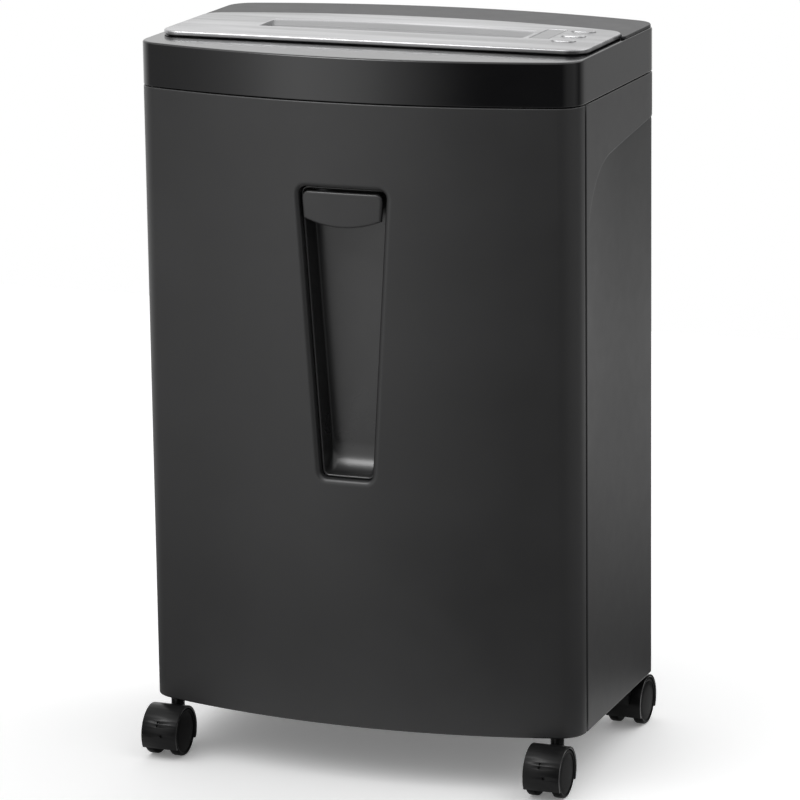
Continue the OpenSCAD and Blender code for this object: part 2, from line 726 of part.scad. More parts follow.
module second_stage_gear() color("#d8d4c8") {
    spur(second_axis, m_drive, n_second, second_angle + 180 + 180 / n_second,
         plane_three - drive_w, plane_two - gear_w + cut, spindle_r + run);
    spur(second_axis, m_mid, n_mid, first_angle, plane_two - gear_w, plane_two, spindle_r + run);
    hub(second_axis, spindle_r + 2, plane_two - cut, -side_out - clear, spindle_r + run);
}
module first_stage_gear() color("#d8d4c8") {
    spur(first_axis, m_mid, n_first, first_angle + 180 + 180 / n_first,
         plane_two - gear_w, plane_one - gear_w + cut, spindle_r + run);
    spur(first_axis, m_motor, n_big, motor_angle, plane_one - gear_w, plane_one, spindle_r + run);
    hub(first_axis, spindle_r + 2, gearbox_x + clear, plane_two - gear_w + cut, spindle_r + run);
}
module motor_pinion() color("#b08d57")
    spur(motor_axis, m_motor, n_pinion, motor_angle + 180 + 180 / n_pinion,
         plane_one - gear_w, plane_one, motor_shaft_r);

module gearbox_plate() color("#9a9da1") {
    along_x(gearbox_x - gearbox_t, gearbox_x) difference() {
        polygon(round_rect(front_axis.x - 14, motor_axis.x + 24, well_floor + 1, z_band - 3, 8));
        for (p = [first_axis, second_axis]) translate(p) circle(r = spindle_r);
        translate(rear_axis) circle(r = journal_r + run);
        for (p = posts) translate(p) circle(r = screw_r);
        translate([rear_axis.x, cutter_z + 25]) circle(r = 8);
        translate([front_axis.x, cutter_z]) circle(r = 12);
    }
    for (p = posts) difference() {
        rod_x(p, rod_r, gearbox_x, -side_out);
        rod_x(p, screw_r, gearbox_x - cut, -side_out + cut);
    }
}

module gear_axles() color("#b9bcc0") for (p = [first_axis, second_axis])
    rod_x(p, spindle_r, gearbox_x - gearbox_t, -side_in);

module motor_housing() color("#6f7276") difference() {
    rod_x(motor_axis, motor_r, -side_in, -side_in + motor_l);
    rod_x(motor_axis, motor_r - shell_t, -side_in + 3, -side_in + motor_l - 3);
    rod_x(motor_axis, motor_shaft_r + run, -side_out, motor_l);
    for (p = motor_screws) rod_x(p, screw_r, -side_out, -side_in + 3.5);
}
module motor_magnets() color("#3a3a3c") for (a = [0, 180]) at_axis(motor_axis) rotate([a, 0, 0])
    along_x(-side_in + 14, -side_in + motor_l - 30) polygon(concat(
        arc([0, 0], motor_r - shell_t - run, 20, 160, 16), arc([0, 0], magnet_in, 160, 20, 16)));
module motor_armature() color("#a3562f") {
    rod_x(motor_axis, motor_shaft_r, plane_one - gear_w, -side_in + motor_l);
    rod_x(motor_axis, armature_r, -side_in + 16, -side_in + motor_l - 32);
    rod_x(motor_axis, 8, -side_in + motor_l - 26, -side_in + motor_l - 12);
}

module cap_screw_x(p, x, dir, l) {
    rod_x(p, 3.6, min(x, x + dir * head_l), max(x, x + dir * head_l));
    rod_x(p, screw_r, min(x, x - dir * l), max(x, x - dir * l));
}
module mechanism_screws() color("#c3c5c8") {
    for (p = rods) {
        cap_screw_x(p, side_out, 1, 10);
        cap_screw_x(p, -side_out, -1, 10);
    }
    for (p = posts) cap_screw_x(p, gearbox_x - gearbox_t, -1, 10);
    for (p = motor_screws) cap_screw_x(p, -side_out, -1, plate_steel + 3);
}

module interlock_switch() color("#1d1d1f") difference() {
    slab(lock_x - 10, lock_x + 10, well_front + well_wall, well_front + well_wall + 10,
         lock_z - 6, lock_z + 6);
    rod_y(lock_x, lock_z, 1.5 + run, well_front, well_front + well_wall + 8);
}
module interlock_plunger() color("#b8322a")
    rod_y(lock_x, lock_z, 1.5, well_front - 2, well_front + well_wall + 6);
module interlock_tab() color("#2b2b2d")
    slab(lock_x - 5, lock_x + 5, tub_y - 6, well_front - 2 - clear, lock_z - 6, panel_top - 10 - shelf_t);

module paper_sensor() color("#1d1d1f") for (x = [-sensor_x, sensor_x])
    slab(x - sensor_w / 2 + 0.2, x + sensor_w / 2 - 0.2, slit_y - 6, slit_y,
         guide_low + 6.2, guide_low + 5.8 + sensor_w);

// The cord's inlet: a block through the rear wall, with a round flange outside
module cable_gland() color("#1d1d1f") difference() {
    union() {
        slab(gland_x - gland_w / 2, gland_x + gland_w / 2, body_d - 18, gland_out,
             gland_z - gland_w / 2, gland_z + gland_w / 2);
        rod_y(gland_x, gland_z, gland_flange, body_d - bow_at(gland_x - gland_flange) + 0.1, gland_out);
    }
    rod_y(gland_x, gland_z, gland_bore, body_d - 20, body_d + 10);
}
gland_out = body_d - bow_at(gland_x) + 2;
gland_flange = gland_w / 2 + 3;

module head_screws() color("#c3c5c8") for (p = head_spots) translate([p.x, p.y, 0]) {
    translate([0, 0, z_band - 2]) cylinder(r = 3.4, h = 2);
    translate([0, 0, z_band - 1]) cylinder(r = screw_r * 0.8, h = 12);
}

module panel_shelf(z) in_front(tub_y) block(wall / 2, z, z + shelf_t);
module front_panel() color("#3a3a3c") difference() {
    union() {
        in_front(seam_y - seam_gap) difference() {
            block(0, floor_gap, panel_top);
            block(wall, floor_gap - cut, panel_top + cut);
        }
        panel_shelf(panel_top - 10);
        panel_shelf(tub_z + 2);
        intersection() {
            block(wall / 2, floor_gap, panel_top);
            for (p = panel_bosses) rod_y(p.x, p.y, boss_r, 0, tub_y);
        }
    }
    along_y(-cut, handle_depth) polygon(handle_outline(0));
    for (p = panel_bosses) rod_y(p.x, p.y, screw_r * 0.8, tub_y - 12, tub_y + cut);
}

module bin_tub() color("#28282a") difference() {
    union() {
        translate([0, 0, tub_z]) linear_extrude(tub_h)
            polygon(round_rect(-tub_w / 2, tub_w / 2, tub_y, tub_end, tub_r));
        translate([0, 0, tub_top - 3]) linear_extrude(3)
            polygon(round_rect(-tub_w / 2 - tub_rim, tub_w / 2 + tub_rim, tub_y - tub_rim + 1,
                               tub_end + tub_rim - 1, tub_r + tub_rim));
    }
    translate([0, 0, tub_z + tub_wall]) linear_extrude(tub_h)
        polygon(round_rect(-tub_w / 2 + tub_wall, tub_w / 2 - tub_wall, tub_y + tub_wall,
                           tub_end - tub_wall, tub_r - tub_wall));
    for (p = panel_bosses) rod_y(p.x, p.y, screw_r * 0.8, tub_y - cut, tub_y + tub_wall + cut);
}

// Finger recess: a drafted cup that stands in the opening, its rim a little below the panel's face,
// with a flange on the panel's inside
cup_draft = 1.5;
rim_gap = 0.6;
rim_low = 1.4;
flange_w = 8;
flange_t = 2;
flange_y = 12;
module cup_form(g, y0, y1) hull() {
    along_y(y0, y0 + 0.1) polygon(handle_outline(g));
    along_y(y1 - 0.1, y1) polygon(handle_outline(g - cup_draft));
}
module handle_cup() color("#2a2a2c") difference() {
    union() {
        intersection() {
            cup_form(-rim_gap, 0, handle_depth + cup_wall);
            block(rim_low, handle_low - handle_r, handle_top + handle_r);
        }
        intersection() {
            along_y(0, flange_y) polygon(handle_outline(flange_w));
            difference() {
                block(wall, handle_low - 2 * flange_w, handle_top + 2 * flange_w);
                block(wall + flange_t, handle_low - 3 * flange_w, handle_top + 3 * flange_w);
            }
        }
    }
    cup_form(-rim_gap - cup_wall, -cut, handle_depth);
}

// Grip: a bowed plate in the opening's upper end, on two legs from the recess's floor
grip_low_in = 0.6;
leg_x = 22;
leg_w = 3;
leg_h = 10;
leg_drop = 6;
module grip() color("#3a3a3c") {
    intersection() {
        along_y(0, 20) intersection() {
            polygon(handle_outline(-grip_gap));
            translate([0, grip_low + grip_low_r]) circle(r = grip_low_r);
        }
        difference() {
            block(grip_low_in, grip_low - grip_h, handle_top);
            block(grip_low_in + grip_t, grip_low - 2 * grip_h, handle_top + grip_h);
        }
    }
    both_sides() slab(leg_x, leg_x + leg_w, grip_t - 1, handle_depth,
                      grip_top - leg_drop - leg_h, grip_top - leg_drop);
}

module bin_screws() color("#c3c5c8") for (p = panel_bosses) {
    rod_y(p.x, p.y, 3.4, tub_y + tub_wall, tub_y + tub_wall + 2);
    rod_y(p.x, p.y, screw_r * 0.8, tub_y - 10, tub_y + tub_wall + 1);
}

module button(i) translate([button_x, buttons_y + i * button_pitch, 0]) {
    translate([0, 0, button_low]) linear_extrude(z_plate + button_rise - button_low)
        polygon(pill(button_l, button_w));
    translate([0, 0, button_low]) linear_extrude(2.6) polygon(pill(button_l + 3, button_w + 3));
}

// One caster standing at its swivel axis: a round hood over both wheels, with a neck behind it
module caster_hood() color("#1b1b1d") difference() {
    union() {
        intersection() {
            rod_x([trail, wheel_r], hood_r, -hood_x, hood_x);
            slab(-hood_x, hood_x, -body_d, body_d, wheel_r - hood_skirt, 2 * hood_r);
        }
        along_x(-web_x, web_x) polygon([
            [-neck_r - 1, wheel_r + 3], [trail, wheel_r - 2], [trail, hood_r], [neck_r + 2, hood_top - 5],
            [1 - neck_r, hood_top - 8], [-neck_r - 1, hood_top - 10]]);
        translate([0, 0, stem_low]) cylinder(r = neck_r, h = base_z - washer_t - clear - stem_low);
    }
    both_sides() difference() {
        rod_x([trail, wheel_r], wheel_r + hood_gap, web_x, hood_x + cut);
        rod_x([trail, wheel_r], axle_r, 0, axle_end);
    }
    translate([0, 0, stem_low - cut]) cylinder(r = stem_r + run, h = 2 * wheel_r);
    for (d = dimples) translate([d.y, trail, wheel_r]) rotate([d.x, 0, 0])
        translate([0, hood_r + cut, 0]) rotate([90, 0, 0]) cylinder(r = d.z, h = cut + 1.6);
}
// A wheel with a smooth domed outer face that covers its axle's end
module caster_wheel(side) color("#1b1b1d") translate([side * wheel_pitch / 2, trail, wheel_r])
    rotate([0, side * 90, 0]) difference() {
        rotate_extrude() polygon([
            [0, -wheel_w / 2], [wheel_r - 1, -wheel_w / 2], [wheel_r, -wheel_w / 2 + 1],
            [wheel_r, wheel_w / 2 - 1.2], [wheel_r - 1.2, wheel_w / 2], [wheel_r - 2.2, wheel_w / 2],
            [wheel_r - 2.8, wheel_w / 2 - 0.6], [wheel_r - 3.4, wheel_w / 2 - 0.6],
            [wheel_r / 2, wheel_w / 2 - 0.1], [0, wheel_w / 2]]);
        translate([0, 0, -wheel_w])
            cylinder(r = axle_r + run, h = wheel_w + axle_end - wheel_pitch / 2 + clear);
    }
// The front casters trail forwards and the rear ones backwards
module at_caster(x, y) translate([x * stem_x, y < 0 ? stem_front : stem_rear, 0])
    rotate([0, 0, y < 0 ? 180 : 0]) children();

module placed() translate([0, -y_mid, 0]) children();

placed() cabinet_shell();
placed() base_plate();
placed() bin_runners();
placed() caster_stems();
placed() head_band();
placed() head_tray();
placed() rear_top_cover();
placed() silver_panel();
placed() throat_guide();
placed() indicator_window();
placed() control_board();
placed() main_board();
placed() side_plate_left();
placed() side_plate_right();
placed() tie_rods();
placed() cutter_bushes();
placed() stripper_combs();
placed() gearbox_plate();
placed() gear_axles();
placed() motor_housing();
placed() motor_magnets();
placed() mechanism_screws();
placed() interlock_switch();
placed() paper_sensor();
placed() cable_gland();
placed() head_screws();
placed() front_panel();
placed() bin_tub();
placed() handle_cup();
placed() grip();
placed() bin_screws();
placed() interlock_tab();
placed() color("#b4b6b8") button(-1);  // power_button
placed() color("#b4b6b8") button(0);  // forward_button
placed() color("#b4b6b8") button(1);  // reverse_button
placed() interlock_plunger();
placed() front_cutter();
placed() rear_cutter();
placed() front_cutter_gear();
placed() rear_cutter_gear();
placed() drive_gear();
placed() first_stage_gear();
placed() second_stage_gear();
placed() motor_armature();
placed() motor_pinion();
placed() at_caster(-1, -1) caster_hood();  // caster_hood_front_left
placed() at_caster(1, -1) caster_hood();  // caster_hood_front_right
placed() at_caster(-1, 1) caster_hood();  // caster_hood_rear_left
placed() at_caster(1, 1) caster_hood();  // caster_hood_rear_right
placed() at_caster(-1, -1) caster_wheel(1);  // wheel_front_left_outer
placed() at_caster(-1, -1) caster_wheel(-1);  // wheel_front_left_inner
placed() at_caster(1, -1) caster_wheel(-1);  // wheel_front_right_outer
placed() at_caster(1, -1) caster_wheel(1);  // wheel_front_right_inner
placed() at_caster(-1, 1) caster_wheel(-1);  // wheel_rear_left_outer
placed() at_caster(-1, 1) caster_wheel(1);  // wheel_rear_left_inner
placed() at_caster(1, 1) caster_wheel(1);  // wheel_rear_right_outer
placed() at_caster(1, 1) caster_wheel(-1);  // wheel_rear_right_inner
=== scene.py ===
import json
import math

import bmesh
import bpy
import numpy as np
from mathutils import Matrix, Vector
from mathutils.geometry import delaunay_2d_cdt

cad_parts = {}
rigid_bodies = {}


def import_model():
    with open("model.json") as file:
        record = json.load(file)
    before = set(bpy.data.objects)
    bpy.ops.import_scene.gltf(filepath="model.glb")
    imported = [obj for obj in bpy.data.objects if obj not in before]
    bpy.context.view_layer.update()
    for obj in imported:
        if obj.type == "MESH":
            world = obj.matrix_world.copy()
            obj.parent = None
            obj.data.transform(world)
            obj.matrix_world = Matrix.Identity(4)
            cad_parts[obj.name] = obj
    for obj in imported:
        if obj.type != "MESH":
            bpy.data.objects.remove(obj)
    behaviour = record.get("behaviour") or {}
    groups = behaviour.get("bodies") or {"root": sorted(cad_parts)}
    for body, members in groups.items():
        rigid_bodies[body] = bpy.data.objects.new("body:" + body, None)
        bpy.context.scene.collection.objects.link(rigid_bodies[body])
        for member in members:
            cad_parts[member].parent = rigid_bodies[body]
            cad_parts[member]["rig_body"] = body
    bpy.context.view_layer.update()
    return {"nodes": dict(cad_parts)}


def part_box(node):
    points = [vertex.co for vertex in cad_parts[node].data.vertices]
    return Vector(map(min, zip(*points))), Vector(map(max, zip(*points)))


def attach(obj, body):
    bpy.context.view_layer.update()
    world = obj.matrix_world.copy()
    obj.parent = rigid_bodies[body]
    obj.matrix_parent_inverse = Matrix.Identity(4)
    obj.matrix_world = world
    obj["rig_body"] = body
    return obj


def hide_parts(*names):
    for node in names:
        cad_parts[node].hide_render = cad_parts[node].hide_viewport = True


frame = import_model()

# ---- sizes, in millimetres
MM = 0.001
LOW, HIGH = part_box("front_panel")
CROWN = LOW.y / MM                                  # crown of the bowed front
SKIRT, PANEL_TOP = LOW.z / MM, HIGH.z / MM
HALF_W = HIGH.x / MM
BAND_LOW, DECK = (corner.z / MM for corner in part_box("head_band"))
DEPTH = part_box("cabinet_shell")[1].y / MM - CROWN   # crown to crown
PLATE_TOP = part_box("silver_panel")[1].z / MM
BUTTON_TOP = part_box("power_button")[1].z / MM

# Depths (names in _Y, SEAM, PLATE_END) count from the front crown backwards
BOW, CORNER_R = 29.5, 22                            # rise of the bow, round of the upright corners
WALL, SEAM, GAP = 2.6, 50, 0.8                      # wall, the bin's seam, gap round the silver panel
SEAM_SHADOW, TOP_SHADOW = 3, 1.1                    # dark joints beside the seam and under the band

# Recess in each side: front edge, drop of its crest from the band, round, width of its rim, draft, rise
RECESS_Y, RECESS_DROP, RECESS_R, RECESS_RIM = 54, 48, 62, 1.1
RECESS_ANGLE, RECESS_RISE = math.radians(1), math.radians(6.4)

# Handle opening: drop of its top, height, width at its top and foot, corner round
HANDLE_DROP, HANDLE_H = 66, 238
HANDLE_TOP_W, HANDLE_LOW_W, HANDLE_R = 78.6, 48, 8
HANDLE_TOP = PANEL_TOP - HANDLE_DROP
HANDLE_LOW = HANDLE_TOP - HANDLE_H
HANDLE_TILT = math.atan((HANDLE_TOP_W - HANDLE_LOW_W) / 2 / HANDLE_H)

# Grip across its top: gap round it, height, lower edge's radius, corner round, where its sides end
GRIP_GAP, GRIP_H, GRIP_R, GRIP_CORNER, GRIP_FOOT = 5, 28, 85, 5.5, 6
GRIP_TOP = HANDLE_TOP - GRIP_GAP
GRIP_LOW = GRIP_TOP - GRIP_H

# Silver panel: front and rear edge, gap to the body's sides, front and rear corner rounds
PLATE_Y, PLATE_END, PLATE_INSET = 59, DEPTH - 68, 5.2
PLATE_R, PLATE_REAR_R = 16, 18

# Mouth of the throat: width, front edge, depth at the middle, rise of its bowed rear edge
THROAT_W, THROAT_Y, MOUTH_D, MOUTH_BOW = 225, DEPTH - 149, 44, 8
BUTTON_L, BUTTON_W, BUTTON_PITCH = 20, 9, 24.3
BUTTON_X, BUTTON_Y = THROAT_W / 2 + 36.5, THROAT_Y + 18.5
WINDOW = (117.3, 134.3, THROAT_Y, THROAT_Y + 48)    # left, right, front and rear edge


def bow_radius(half, rise):
    return (half ** 2 + rise ** 2) / (2 * rise)


# The body's outline in plan: a wide bow, a corner round from TURN on, then the straight side
BOW_R, MOUTH_R = bow_radius(HALF_W, BOW), bow_radius(THROAT_W / 2, MOUTH_BOW)
CORNER_X = HALF_W - CORNER_R
CORNER_Y = BOW_R - math.sqrt((BOW_R - CORNER_R) ** 2 - CORNER_X ** 2)
TURN = math.asin(CORNER_X / (BOW_R - CORNER_R))
BOW_RUN = BOW_R * TURN
SIDE_START = BOW_RUN + CORNER_R * (math.pi / 2 - TURN)


# ---- outlines in the flat
def arc(cx, cy, r, a0, a1, n):
    """Points round a centre, from angle a0 to a1 in degrees, both ends included."""
    angles = [math.radians(a0 + (a1 - a0) * i / n) for i in range(n + 1)]
    return [(cx + r * math.cos(a), cy + r * math.sin(a)) for a in angles]


def between(p, q, n):
    """The points that divide the line from p to q into n equal parts."""
    return [(p[0] + (q[0] - p[0]) * i / n, p[1] + (q[1] - p[1]) * i / n) for i in range(1, n)]


def along(p, q, step):
    """Points from p up to q, without q, no further apart than step."""
    return [p] + between(p, q, max(1, math.ceil(math.dist(p, q) / step)))


def mirrored(points):
    """The same points on the other side, in the opposite order."""
    return [(-x, y) for x, y in reversed(points)]


def closed(points, step=9):
    """The same closed outline with its long edges divided."""
    loop = []
    for p, q in zip(points, points[1:] + points[:1]):
        if math.dist(p, q) > 1e-6:
            loop += along(p, q, step)
    return loop


def round_rect(x0, x1, y0, y1, r, n=5):
    return (arc(x1 - r, y0 + r, r, -90, 0, n) + arc(x1 - r, y1 - r, r, 0, 90, n)
            + arc(x0 + r, y1 - r, r, 90, 180, n) + arc(x0 + r, y0 + r, r, 180, 270, n))


def pill(cx, cy, length, width, n=10):
    a, r = length / 2 - width / 2, width / 2
    return arc(cx + a, cy, r, -90, 90, n) + arc(cx - a, cy, r, 90, 270, n)


def hole(points):
    """A hole's outline runs the other way, so that the solid is on its left too."""
    return closed(points[::-1])


def inset(loop, t):
    """A closed outline moved to its left by t."""
    p = np.array(loop, float)
    ahead = np.roll(p, -1, 0) - p
    ahead /= np.linalg.norm(ahead, axis=1)[:, None]
    normal = np.stack([-ahead[:, 1], ahead[:, 0]], 1)
    before = np.roll(normal, 1, 0)
    share = 1 + (normal * before).sum(1)
    return p + t * (normal + before) / share[:, None]


def inside(points, loops):
    """Which points lie in the outlines, counting crossings."""
    found = np.zeros(len(points), bool)
    for loop in loops:
        p, q = np.array(loop), np.roll(np.array(loop), -1, 0)
        for (x0, y0), (x1, y1) in zip(p, q):
            if y0 != y1:
                across = (points[:, 1] >= min(y0, y1)) & (points[:, 1] < max(y0, y1))
                x = x0 + (points[:, 1] - y0) * (x1 - x0) / (y1 - y0)
                found ^= across & (x > points[:, 0])
    return found


def far_from(points, lines, reach, batch=500):
    """The points that lie further than reach from every given point, worked out a batch at a time."""
    kept = np.ones(len(points), bool)
    every = np.concatenate([np.array(line) for line in lines])
    for start in range(0, len(points), batch):
        some = slice(start, start + batch)
        kept[some] = np.linalg.norm(points[some, None] - every[None], axis=2).min(1) > reach
    return points[kept]


def fill(loops, lines, us, vs, reach):
    """Triangles over a flat area with holes, with a grid of points and any fold lines in it."""
    grid = np.array([(u, v) for u in us for v in vs], float).reshape(-1, 2)
    grid = grid[inside(grid, loops)]
    grid = far_from(grid, list(loops) + list(lines), reach)
    points, edges = [], []
    for i, line in enumerate([*loops, *lines]):
        first, count, ends = len(points), len(line), 0 if i < len(loops) else 1
        points += [tuple(p) for p in line]
        edges += [(first + j, first + (j + 1) % count) for j in range(count - ends)]
    points += [tuple(p) for p in grid]
    made, _, faces, origin, _, _ = delaunay_2d_cdt([Vector(p) for p in points], edges, [], 0, 1e-5)
    flat = np.array([tuple(p) for p in made])
    middle = np.array([flat[list(f)].mean(0) for f in faces])
    keep = inside(middle, loops)
    faces = [tuple(f) for f, k in zip(faces, keep) if k]
    return flat, faces, [o[0] if o else -1 for o in origin]


def rounded(radius, depth, steps=4, foot=0.5, lip=0.5):
    """Rings (inset, depth, wear; on silver a painted highlight) down an edge: a round, the wall, and a small
    round at its foot.
    """
    rings = [(radius + lip, 0, 0), (radius, 0, 0.3)]
    for i in range(1, steps + 1):
        a = math.pi / 2 * i / steps
        rings.append((radius * (1 - math.sin(a)), radius * (1 - math.cos(a)), 1 if i < steps else 0.4))
    if depth - foot > radius + 2 * lip:
        rings += [(0, radius + lip, 0), (0, depth - foot - lip, 0)]
    rings += [(0, depth - foot, 0.4), (foot * 0.3, depth - foot * 0.3, 0.6)]
    return rings + [(foot, depth, 0.2), (foot + lip, depth, 0)]


def placed(name, data):
    """A new object in the scene."""
    piece = bpy.data.objects.new(name, data)
    bpy.context.scene.collection.objects.link(piece)
    return piece


def marked(mesh, name, values):
    """Writes one number on each point of the mesh."""
    mesh.attributes.new(name, "FLOAT", "POINT").data.foreach_set("value", values)


def build(name, points, faces, wear_and_glint=None):
    """A smooth mesh object from points in millimetres, its faces pointing outwards."""
    mesh = bpy.data.meshes.new(name)
    mesh.from_pydata([tuple(c * MM for c in p) for p in points], [], [tuple(f) for f in faces])
    if wear_and_glint is not None:
        marked(mesh, "wear_and_glint", wear_and_glint)
    work = bmesh.new()
    work.from_mesh(mesh)
    bmesh.ops.remove_doubles(work, verts=work.verts, dist=1e-6)
    bmesh.ops.recalc_face_normals(work, faces=work.faces)
    for face in work.faces:
        face.smooth = True
    work.to_mesh(mesh)
    work.free()
    return placed(name, mesh)


def panel(name, edges, place, us, vs, lines=(), reach=3):
    """A wall with rounded edges and holes. Each edge is an outline in the flat with its rings;
    place turns (u, v, depth) into a point on the object."""
    points, wear_and_glint, faces, seams = [], [], [], []
    for outline, rings in edges:
        count = len(outline)
        rows = []
        for shift, depth, worn_and_glinting in rings:
            rows.append(range(len(points), len(points) + count))
            points += [(u, v, depth) for u, v in inset(outline, shift)]
            wear_and_glint += [worn_and_glinting] * count
        for a, b in zip(rows, rows[1:]):
            faces += [(a[i], a[(i + 1) % count], b[(i + 1) % count], b[i]) for i in range(count)]
        seams.append((rows[0], rows[-1]))
    for end in (0, 1):
        loops = [[points[i][:2] for i in seam[end]] for seam in seams]
        index = [i for seam in seams for i in seam[end]]
        depth = points[index[0]][2]
        flat, found, origin = fill(loops, lines, us, vs, reach)
        known = {}
        for i, (p, source) in enumerate(zip(flat, origin)):
            if 0 <= source < len(index):
                known[i] = index[source]
            else:
                known[i] = len(points)
                points.append((p[0], p[1], depth))
                wear_and_glint.append(0)
        faces += [tuple(known[i] for i in f) for f in found]
    return build(name, [place(*p) for p in points], faces, wear_and_glint)


def turned_faces(count, n):
    """Faces between count copies of a line of n points, turned about an axis and joined in a ring."""
    starts = [(i * n, (i + 1) % count * n) for i in range(count)]
    return [(a + j, a + j + 1, b + j + 1, b + j) for a, b in starts for j in range(n - 1)]


def lathe(name, profile, count, place):
    """A profile of (radius, height, wear) that starts and ends on the axis, turned about it."""
    points, wear_and_glint = [], []
    for i in range(count):
        a = 2 * math.pi * i / count
        points += [place(r * math.cos(a), r * math.sin(a), h) for r, h, _ in profile]
        wear_and_glint += [w for _, _, w in profile]
    return build(name, points, turned_faces(count, len(profile)), wear_and_glint)


def loft(name, rings, wear_and_glint=None):
    """Closed rings of points joined one to the next, with flat ends."""
    count = len(rings[0])
    points = [p for ring in rings for p in ring]
    last = len(points) - count
    faces = [(r + i, r + (i + 1) % count, r + count + (i + 1) % count, r + count + i)
             for r in range(0, last, count) for i in range(count)]
    faces += [tuple(range(count)), tuple(range(last, last + count))]
    return build(name, points, faces, wear_and_glint and [w for w in wear_and_glint for _ in range(count)])


def worn_loft(name, ring, rows):
    """A loft of one ring to a row; a row holds what ring takes, and its wear last."""
    return loft(name, [ring(*row[:-1]) for row in rows], [row[-1] for row in rows])


def rod(name, cx, cz, r, ends):
    """A round bar along the depth, between two ends."""
    ring = arc(cx, cz, r, 0, 350, 35)
    return loft(name, [[(x, y, z) for x, z in ring] for y in ends])


def baked(piece):
    """The piece with its modifiers worked into its mesh."""
    bpy.context.view_layer.update()
    graph = bpy.context.evaluated_depsgraph_get()
    mesh = bpy.data.meshes.new_from_object(piece.evaluated_get(graph))
    piece.modifiers.clear()
    piece.data = mesh
    return piece


def stations(low, high, step):
    n = max(1, round((high - low) / step))
    return [low + (high - low) * i / n for i in range(n + 1)]


# ---- places on the body
def bowed(s, depth):
    """Plan point on the bowed outline: s along it from the crown, depth into the wall."""
    a, side = abs(s), math.copysign(1, s)
    if a <= BOW_RUN:
        turn = a / BOW_R
        x, y = (BOW_R - depth) * math.sin(turn), BOW_R - (BOW_R - depth) * math.cos(turn)
    elif a <= SIDE_START:
        turn = TURN + (a - BOW_RUN) / CORNER_R
        x, y = CORNER_X + (CORNER_R - depth) * math.sin(turn), CORNER_Y - (CORNER_R - depth) * math.cos(turn)
    else:
        x, y = HALF_W - depth, CORNER_Y + a - SIDE_START
    return side * x, y


def on_front(s, z, depth):
    x, y = bowed(s, depth)
    return x, CROWN + y, z


def on_deck(height):
    return lambda x, y, depth: (x, CROWN + y, height - depth)


def run_stations(far, step, corner_step=2.4):
    """Stations along the bowed outline, as far each way: coarse on the bow and sides, fine at the corners."""
    half = stations(0, BOW_RUN, step)[1:] + stations(BOW_RUN, SIDE_START, corner_step)[1:]
    half += [s for s in stations(SIDE_START, far, step)[1:] if s < far] + [far]
    return [-s for s in reversed(half)] + [0] + half


# ---- node language
class Signal:
    """A socket's value in a formula: sums, products and the like add their Math nodes."""

    def __init__(self, owner, socket):
        self.owner, self.socket = owner, socket

    def math(self, operation, *values):
        node = self.owner.node("ShaderNodeMath", {"operation": operation}, dict(enumerate(values)))
        return Signal(self.owner, node.outputs[0])

    def __add__(self, other):
        return self.math("ADD", self, other)

    def __radd__(self, other):
        return self.math("ADD", other, self)

    def __sub__(self, other):
        return self.math("SUBTRACT", self, other)

    def __rsub__(self, other):
        return self.math("SUBTRACT", other, self)

    def __mul__(self, other):
        return self.math("MULTIPLY", self, other)

    def __rmul__(self, other):
        return self.math("MULTIPLY", other, self)

    def larger(self, other):
        return self.math("MAXIMUM", self, other)

    def clamp(self):
        return Signal(self.owner, self.owner.out("ShaderNodeClamp", Value=self))


class Nodes:
    """A node tree that takes any node by its type, its settings and its sockets."""

    def __init__(self, tree):
        self.tree = tree
        tree.nodes.clear()

    def node(self, kind, settings=None, sockets=None):
        """Adds a node: settings first, then the values or links of its sockets."""
        node = self.tree.nodes.new(kind)
        for key, value in (settings or {}).items():
            setattr(node, key, value)
        for key, value in (sockets or {}).items():
            socket = node.inputs[key.replace("_", " ") if isinstance(key, str) else key]
            for each in value if isinstance(value, list) else [value]:
                if isinstance(each, Signal):
                    each = each.socket
                if isinstance(each, bpy.types.NodeSocket):
                    self.tree.links.new(each, socket)
                elif socket.type == "RGBA":
                    socket.default_value = (*each, 1)
                else:
                    socket.default_value = each
        return node

    def out(self, kind, settings=None, **sockets):
        """The first output of a new node."""
        return self.node(kind, settings, sockets).outputs[0]


def new_material(name):
    material = bpy.data.materials.new(name)
    material.use_nodes = True
    return material


class Finish(Nodes):
    """One material: a Principled shader and the patterns that vary it, in Object coordinates."""

    def __init__(self, name, **uniform):
        self.material = new_material(name)
        super().__init__(self.material.node_tree)
        self.shader = self.node("ShaderNodeBsdfPrincipled", {}, uniform)
        self.node("ShaderNodeOutputMaterial", {}, {"Surface": self.shader.outputs[0]})
        self.place = self.node("ShaderNodeTexCoord").outputs["Object"]

    def noise(self, scale, detail=2, stretch=None):
        """Smooth noise round 0.5, with scale in features a metre."""
        place = self.place
        if stretch:
            place = self.out("ShaderNodeMapping", Vector=place, Scale=stretch)
        return Signal(self, self.out("ShaderNodeTexNoise", Vector=place, Scale=scale, Detail=detail))

    def cells(self, scale):
        """Distance to the nearest of scattered points, with scale in points a metre."""
        return Signal(self, self.out("ShaderNodeTexVoronoi", Vector=self.place, Scale=scale))

    def mark(self, name="wear_and_glint"):
        """A mark on the points: the edge mark is 1 on rubbed edges, and paints a highlight there on silver;
        the recess mark is 1 deep in the side's recess, and paints shade there.
        """
        node = self.node("ShaderNodeAttribute", {"attribute_name": name})
        return Signal(self, node.outputs["Fac"])

    def blend(self, share, one, other):
        """Colour between one and other, by share."""
        node = self.node("ShaderNodeMix", {"data_type": "RGBA"}, {0: share, 6: one, 7: other})
        return node.outputs[2]

    def bump(self, height, strength, distance):
        self.vary(Normal=self.out("ShaderNodeBump", Height=height, Strength=strength, Distance=distance))

    def vary(self, **channels):
        """Links what changes over the surface to the shader's sockets."""
        for key, value in channels.items():
            socket = self.shader.inputs[key.replace("_", " ")]
            self.tree.links.new(value.socket if isinstance(value, Signal) else value, socket)


# ---- finishes
def toned(colour, share, lift=0):
    """The colour made darker or lighter."""
    return tuple(min(1, c * share + lift) for c in colour)


